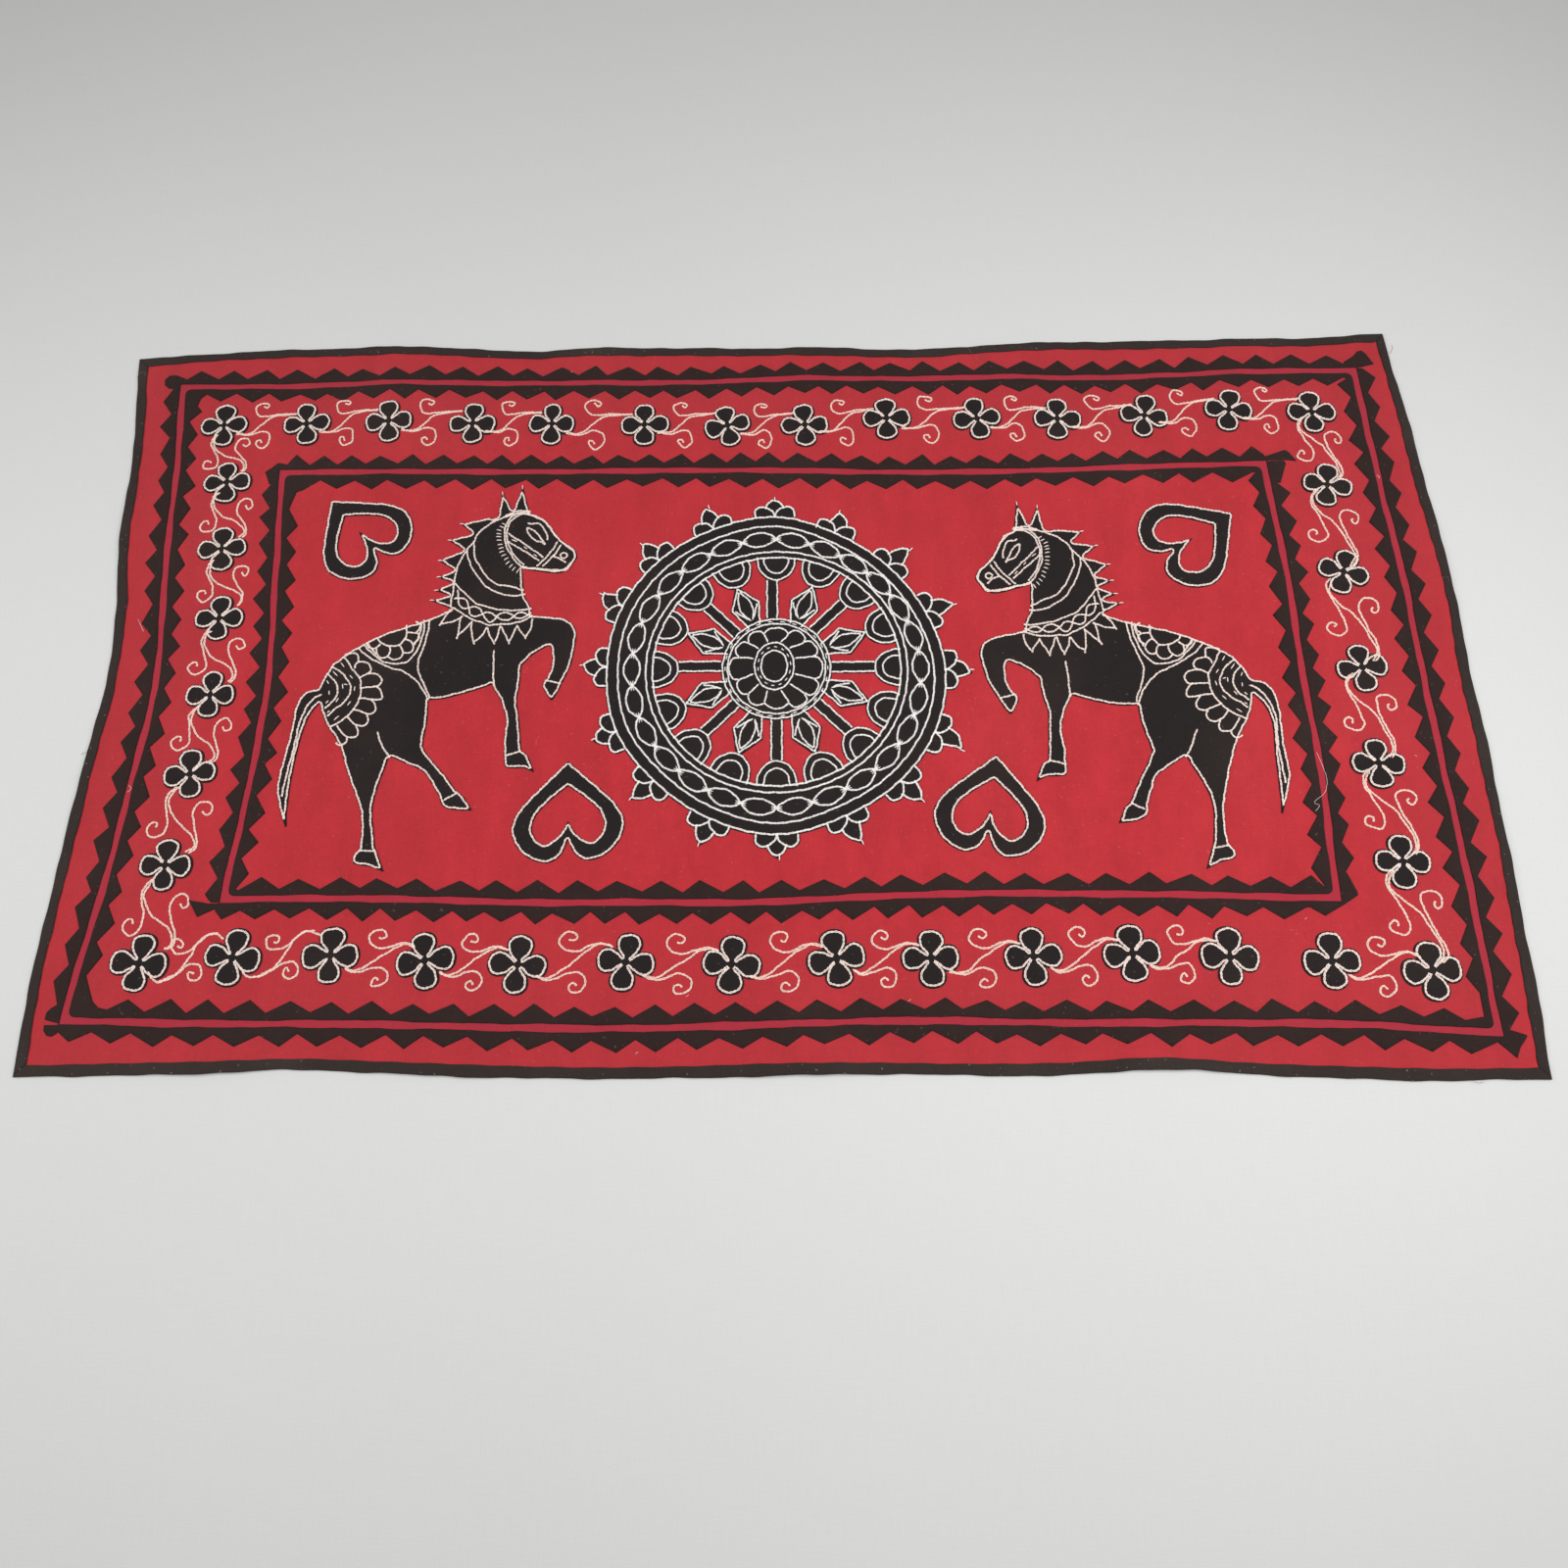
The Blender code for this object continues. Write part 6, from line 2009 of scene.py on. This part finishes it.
class TAPESTRY_OT_strips(bpy.types.Operator):
    """Cut the toothed black strips of the two frames"""

    bl_idname = "tapestry.strips"
    bl_label = "Toothed strips"

    def execute(self, context):
        for frame_name, outline_frame in FRAMES.items():
            seed = FRAME_SEEDS[frame_name]
            rng = random.Random(seed)
            outside = OUTSIDE_TEETH[frame_name]
            for length_name, (square, butting) in LENGTHS.items():
                strip_name = f"{frame_name}_strip_{length_name}"
                first, second = Side(outline_frame, square), Side(outline_frame, butting)
                shapes = [
                    Shape(outside_strip(first, True, outside[square], rng, seed + SQUARE_SEED), False),
                    Shape(outside_strip(second, False, outside[butting], rng, seed + BUTTING_SEED), False),
                ]
                shapes += [Shape(tail(outline_frame, name), False) for name in TAILS_ON[strip_name]]
                self.cut_strip(strip_name, shapes)
            teeth, insets = INSIDE_TEETH[frame_name], INSETS[frame_name]
            line, toothed = inside_strip(outline_frame, teeth, insets, rng, seed + INSIDE_SEED)
            self.cut_strip(f"{frame_name}_strip_inside", [Shape(line, False), Shape(toothed, True)])
        return {"FINISHED"}

    def cut_strip(self, name, shapes):
        piece = add_cut_cloth(name + "_cloth", shapes, "strip_cotton_cloth", STRIP_STEPS)
        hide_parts(name)


class TAPESTRY_OT_flowers(bpy.types.Operator):
    """Cut the flowers and chain stitch them down, with the tendrils between them"""

    bl_idname = "tapestry.flowers"
    bl_label = "Flowers and tendrils"

    def execute(self, context):
        for row, (side, flowers) in enumerate(FLOWERS.items()):
            chain = thread_for(context, FLOWER_THREAD_SEED + row, FLOWER_THREAD)
            for number, flower in enumerate(flowers, 1):
                seed = FLOWER_ROW_SEED * (row + 1) + number
                line, shapes = flower_plan(flower, FLOWER_REACH[side], seed)
                cut_black(context, f"flower_{side}_{number:02d}", shapes, FLOWER_STEPS)
                chain.chain(line, on_black, True)
            chain.sew(f"flower_chain_{side}", "cream_chain_thread", "cream_thread")
        tendrils = thread_for(context, TENDRIL_SEED, FLOWER_THREAD)
        for start, end, motif in tendril_pairs():
            start, end = np.array((start.x, start.y), float), np.array((end.x, end.y), float)
            run = end - start
            bearing = math.degrees(math.atan2(run[1], run[0])) + tendrils.rng.normal(0, TENDRIL_LEAN)
            scale = np.linalg.norm(run) / motif.gap
            for points in (motif.stem, motif.lower_curl, motif.upper_curl):
                stray = tendrils.rng.normal(0, TENDRIL_SLIP, (len(points), 2))
                drawn = np.array(points) * (scale, (1 + scale) / 2) + stray
                tendrils.chain(turned(smooth(drawn, 6), bearing) + start, on_cloth)
        tendrils.sew("tendril_chain", "pink_chain_thread", "pink_thread")
        return {"FINISHED"}


class TAPESTRY_OT_hearts(bpy.types.Operator):
    """Cut the open hearts and chain stitch both their edges"""

    bl_idname = "tapestry.hearts"
    bl_label = "Open hearts"

    def execute(self, context):
        chain = thread_for(context, HEART_SEED)
        for name, heart in HEARTS.items():
            hole = (*HEART_HOLE_HALF, (heart.cusp, 0))
            shapes = [Shape(heart_ring(heart, HEART_HALF), False), Shape(heart_ring(heart, hole), True)]
            cut_black(context, f"heart_{name}", shapes, HEART_STEPS)
            rings = [with_steps(shape.ring, SEWN_EDGE_STEP) for shape in outline(shapes)]
            for ring in rings:
                chain.chain(inset(ring, rings, EDGE_LINE), on_black, True)
        chain.sew("heart_chain", "cream_chain_thread", "cream_thread")
        return {"FINISHED"}


class TAPESTRY_OT_wheel(bpy.types.Operator):
    """Cut the wheel and embroider its rim, buds, lobes, spokes and hub"""

    bl_idname = "tapestry.wheel"
    bl_label = "Wheel"

    def execute(self, context):
        cut_black(context, "wheel", wheel_shapes(), LARGE_STEPS)
        rim = thread_for(context, WHEEL_RIM_SEED, WHEEL_THREAD)
        hub = thread_for(context, WHEEL_HUB_SEED, HUB_THREAD)
        self.sew_rim(rim)
        self.sew_spokes(hub)
        self.sew_hub(hub)
        rim.sew("wheel_rim_chain", "white_chain_thread", "white_thread")
        hub.sew("wheel_hub_chain", "white_chain_thread", "white_thread")
        return {"FINISHED"}

    def sew_rim(self, thread):
        for radius_at in (
            lambda b: rim_radius(b) - RIM_LINE_IN, lambda b: rim_radius(b) - RIM_SECOND_LINE_IN,
            lambda b: RIM_INSIDE + INNER_LINE_OUT, lambda b: RIM_INSIDE + INNER_SECOND_LINE_OUT,
        ):
            thread.chain(wheel_ring(radius_at, RIM_STEPS), on_black, True)
        for way in (-1, 1):
            def wave(bearing):
                middle = (rim_radius(bearing) + RIM_INSIDE) / 2 - LENS_MIDDLE_IN
                swing = math.sin(math.radians((bearing - LENS_START) * LENS_COUNT / 2))
                return middle + way * LENS_HALF * math.copysign(abs(swing) ** LENS_FULLNESS, swing)
            thread.chain(wheel_ring(wave, LENS_STEPS), on_black, True)
        bearings = LENS_START + np.arange(LENS_COUNT) * 360 / LENS_COUNT
        middles = np.array([(rim_radius(b) + RIM_INSIDE) / 2 - LENS_MIDDLE_IN for b in bearings])
        nodes = polar(middles, bearings) + WHEEL_CENTRE
        for lean in (LENS_TAIL_LEAN, -LENS_TAIL_LEAN):
            ways = polar(np.full(LENS_COUNT, LENS_TAIL_HALF), bearings + 90 + lean)
            thread.straight(nodes - ways, nodes + ways, on_black)
        for bearing, _, bud in wheel_bearings():
            for line in bud_scallops(bud, bearing, EDGE_LINE):
                thread.chain(line, on_black)
            thread.chain(bud_petal(bud, bearing, EDGE_LINE), on_black)
            lean = thread.rng.normal(0, BUD_TIP_LEAN)
            start, end = polar(bud.reach + np.array(BUD_TIP_LINE), bud.bearing + lean) + WHEEL_CENTRE
            thread.straight(start, end, on_black)

    def sew_spokes(self, thread):
        foot = RIM_INSIDE + INNER_LINE_OUT
        lobes = (
            lobe_line(LOBE_HALF - EDGE_LINE, LOBE_REACH + EDGE_LINE, foot),
            lobe_line(INNER_LOBE_HALF, INNER_LOBE_REACH, foot),
        )
        for bearing, index, bud in wheel_bearings():
            for points in lobes:
                thread.chain(on_spoke(smooth(points), bearing), on_black)
            if index % 2 == 0:
                for way in (-1, 1):
                    aside = way * (BAR_HALF - EDGE_LINE + BAR_LINE_OUT)
                    bar = on_spoke(((HUB_RADIUS - 1, aside), (LOBE_REACH + 1, aside)), bearing, bud.aside)
                    thread.chain(spaced(bar, LINE_PITCH), on_black)
            else:
                lines = [spaced(np.array(points, float), LINE_PITCH) for points in LEAF_LINES.values()]
                lines += [smooth([(x, way * y) for x, y in LEAF_VEIN], 5) for way in (-1, 1)]
                half = leaf_half(EDGE_LINE)
                lines += [spaced(np.array([(x, way * y) for x, y in half]), LINE_PITCH) for way in (-1, 1)]
                for line in lines:
                    thread.chain(on_spoke(line, bearing, bud.aside), on_black)

    def sew_hub(self, thread):
        for radius in HUB_LINES:
            thread.chain(wheel_ring(lambda _: radius, HUB_LINE_STEPS), on_black, True)
        bearings = np.arange(HUB_DASHES) * 360 / HUB_DASHES
        middle = sum(HUB_LINES) / 2
        half = 360 / HUB_DASHES * HUB_DASH_SHARE
        starts, ends = (polar(middle, bearings + turn) + WHEEL_CENTRE for turn in (-half, half))
        thread.straight(starts, ends, on_black)
        eye = np.array(HUB_EYE)
        bearing = 90 - HUB_PETAL_HALVES[0]
        for half in HUB_PETAL_HALVES * 4:
            bearing += half
            reach = HUB_PETAL_REACH + thread.rng.normal(0, HUB_PETAL_SLIP)
            points = [(HUB_WALL_END, half * HUB_PETAL_FOOT)]
            points += [(reach - short, half * share) for short, share in HUB_PETAL_SHAPE]
            ring = points + [(radius, -angle) for radius, angle in points[-2::-1]]
            line = np.array([polar(radius, bearing + angle) for radius, angle in ring])
            thread.chain(smooth(line) + WHEEL_CENTRE, on_black)
            bearing += half
            oval = eye + polar(1.0, bearing) * np.add(HUB_OVALS[0], HUB_WALL_START)
            wall = np.array([oval, polar(HUB_WALL_END - 1, bearing) + WHEEL_CENTRE])
            thread.chain(spaced(wall, LINE_PITCH), on_black)
        for wide, high in HUB_OVALS:
            ring = polar(1.0, np.arange(0, 360, OVAL_STEP)) * (wide, high) + eye
            thread.chain(ring, on_black, True)
        wide, high = np.mean(HUB_OVALS, axis=0)
        bearings = np.arange(EYE_DASHES) * 360 / EYE_DASHES + EYE_DASH_START
        starts, ends = (
            polar(1.0, bearings + turn) * (wide, high) + eye for turn in (-EYE_DASH_HALF, EYE_DASH_HALF)
        )
        thread.straight(starts, ends, on_black)


class TAPESTRY_OT_horses(bpy.types.Operator):
    """Cut the two horses and embroider their harness, manes and outlines"""

    bl_idname = "tapestry.horses"
    bl_label = "Horses"

    def execute(self, context):
        for number, (name, placed) in enumerate(HORSES.items()):
            shapes = [Shape(place_horse(ring, placed), False) for ring in horse_rings()]
            cut_black(context, f"horse_{name}", shapes, LARGE_STEPS)
            thread = thread_for(context, HORSE_SEED + number, HORSE_THREAD)
            rings = [with_steps(shape.ring, SEWN_EDGE_STEP) for shape in outline(shapes)]
            for ring in rings:
                line = inset(ring, rings, EDGE_LINE)
                line = (np.roll(line, 1, axis=0) + 2 * line + np.roll(line, -1, axis=0)) / 4
                thread.chain(line, on_black, True)
            for points in HORSE_LINES.values():
                thread.chain(place_horse(smooth(points, 5), placed), on_black)
            thread.chain(place_horse(smooth(NOSTRIL, 5, True), placed), on_black, True)
            for points in (*HORSE_PETALS, *COLLAR_POINTS):
                thread.chain(place_horse(smooth(points, 5), placed), on_black)
            tips = [spike_tip(spike) for spike in (*MANE, *EARS)]
            for pairs in (np.array(horse_dashes()), np.array(tips)):
                thread.straight(place_horse(pairs[:, 0], placed), place_horse(pairs[:, 1], placed), on_black)
            thread.sew(f"horse_{name}_chain", "cream_chain_thread", "cream_thread")
        return {"FINISHED"}


class TAPESTRY_OT_loose_threads(bpy.types.Operator):
    """Leave loose yarns at the bound edge and lint on the cloth"""

    bl_idname = "tapestry.loose_threads"
    bl_label = "Loose threads and lint"

    def execute(self, context):
        red, dark = thread_for(context, RED_YARN_SEED), thread_for(context, DARK_YARN_SEED)
        for yarn in LOOSE_YARNS:
            side = Side(EDGE, yarn.side)
            thread = red if yarn.red else dark
            points = []
            place = side.at(yarn.share * side.length, yarn.out)
            way = yarn.bearing
            for _ in range(YARN_POINTS):
                points.append(place)
                place = place + polar(yarn.long / (YARN_POINTS - 1), way)
                way += yarn.curl + thread.rng.normal(0, YARN_SWING)
            thread.loose(smooth(points, 5), on_edge, YARN_RADIUS, YARN_RISE)
        red.sew("loose_red_yarns", "red_yarn_end", "red_cotton")
        dark.sew("loose_dark_yarns", "dark_yarn_end", "binding_cotton")
        pale = thread_for(context, PALE_END_SEED)
        for end in PALE_ENDS:
            side = Side(FRAMES[end.frame], end.side)
            line = smooth([side.at(along, out) for along, out in end.points])
            pale.loose(line, on_cloth, PALE_RADIUS, PALE_RISE)
        pale.sew("pale_thread_ends", "cream_chain_thread", "cream_thread")
        lint = thread_for(context, LINT_SEED)
        for area in LINT_AREAS:
            for _ in range(area.count):
                place = np.array((area.x, area.y)) + lint.rng.uniform(-1, 1, 2) * (area.half_x, area.half_y)
                way = lint.rng.uniform(0, 360)
                points = [place, place + polar(lint.rng.uniform(*LINT_FIRST), way)]
                points.append(
                    points[-1] + polar(lint.rng.uniform(*LINT_SECOND), way + lint.rng.normal(0, LINT_BEND))
                )
                lint.loose(smooth(points), on_cloth, LINT_RADIUS, LINT_RISE)
        lint.sew("lint_fibres", "pale_lint", "white_thread")
        return {"FINISHED"}


class TAPESTRY_OT_lay(bpy.types.Operator):
    """Changes nothing: each piece is already built lying on the floor"""

    bl_idname = "tapestry.lay"
    bl_label = "Lay the cloth"

    def execute(self, context):
        return {"FINISHED"}


class TAPESTRY_OT_stage(bpy.types.Operator):
    """Set the floor, the soft studio light and the camera"""

    bl_idname = "tapestry.stage"
    bl_label = "Floor, light and camera"

    def execute(self, context):
        scene = context.scene
        (left, near), (right, far) = FLOOR_LOW, FLOOR_HIGH
        mesh = bpy.data.meshes.new("floor")
        corners = [(x, y, FLOOR_LEVEL) for x, y in ((left, near), (right, near), (right, far), (left, far))]
        mesh.from_pydata(corners, [], [(0, 1, 2, 3)])
        floor = bpy.data.objects.new("floor", mesh)
        floor.data.materials.append(bpy.data.materials["floor_cloth"])
        scene.collection.objects.link(floor)
        for lamp in LAMPS:
            light = bpy.data.lights.new(lamp.name, "AREA")
            light.shape = "RECTANGLE"
            light.size, light.size_y = lamp.wide, lamp.deep
            light.energy = lamp.watts
            light.color = lamp.colour
            holder = bpy.data.objects.new(lamp.name, light)
            holder.location = lamp.place
            holder.rotation_euler = (-Vector(lamp.place)).to_track_quat("-Z", "Y").to_euler()
            scene.collection.objects.link(holder)
        world = bpy.data.worlds.new("studio")
        world.use_nodes = True
        background = world.node_tree.nodes["Background"]
        background.inputs["Color"].default_value = WORLD_COLOUR
        background.inputs["Strength"].default_value = WORLD_STRENGTH
        scene.world = world
        camera = bpy.data.cameras.new("camera")
        camera.sensor_width, camera.lens = CAMERA_SENSOR, CAMERA_LENS
        camera.clip_start, camera.clip_end = CAMERA_CLIP
        holder = bpy.data.objects.new("camera", camera)
        turn = Matrix.Rotation(math.radians(CAMERA_SWING), 4, "Z")
        turn = turn @ Matrix.Rotation(math.radians(CAMERA_TILT), 4, "X")
        turn = turn @ Matrix.Rotation(math.radians(CAMERA_ROLL), 4, "Z")
        holder.matrix_world = Matrix.Translation(CAMERA_PLACE) @ turn
        scene.collection.objects.link(holder)
        scene.camera = holder
        scene.view_settings.view_transform = "Standard"
        return {"FINISHED"}


OPERATORS = (
    TAPESTRY_OT_dye, TAPESTRY_OT_ground, TAPESTRY_OT_bindings, TAPESTRY_OT_strips, TAPESTRY_OT_flowers,
    TAPESTRY_OT_hearts, TAPESTRY_OT_wheel, TAPESTRY_OT_horses, TAPESTRY_OT_loose_threads,
    TAPESTRY_OT_stage, TAPESTRY_OT_lay,
)


class TAPESTRY_PT_panel(bpy.types.Panel):
    """The tapestry's settings and steps"""

    bl_idname = "TAPESTRY_PT_panel"
    bl_label = "Applique tapestry"
    bl_space_type = "VIEW_3D"
    bl_region_type = "UI"
    bl_category = "Tapestry"

    def draw(self, context):
        for group in (context.scene.tapestry_sizes, context.scene.tapestry_colours):
            box = self.layout.box()
            for key in group.__annotations__:
                box.prop(group, key)
        for operator in OPERATORS:
            self.layout.operator(operator.bl_idname)


GROUPS = (TapestryColours, TapestrySizes)


def register():
    for cls in (*GROUPS, *OPERATORS, TAPESTRY_PT_panel):
        bpy.utils.register_class(cls)
    bpy.types.Scene.tapestry_colours = PointerProperty(type=TapestryColours)
    bpy.types.Scene.tapestry_sizes = PointerProperty(type=TapestrySizes)


def unregister():
    del bpy.types.Scene.tapestry_sizes
    del bpy.types.Scene.tapestry_colours
    for cls in (TAPESTRY_PT_panel, *reversed(OPERATORS), *reversed(GROUPS)):
        bpy.utils.unregister_class(cls)


def main():
    register()
    for operator in OPERATORS:
        group, name = operator.bl_idname.split(".")
        getattr(getattr(bpy.ops, group), name)()


if __name__ == "__main__":
    main()
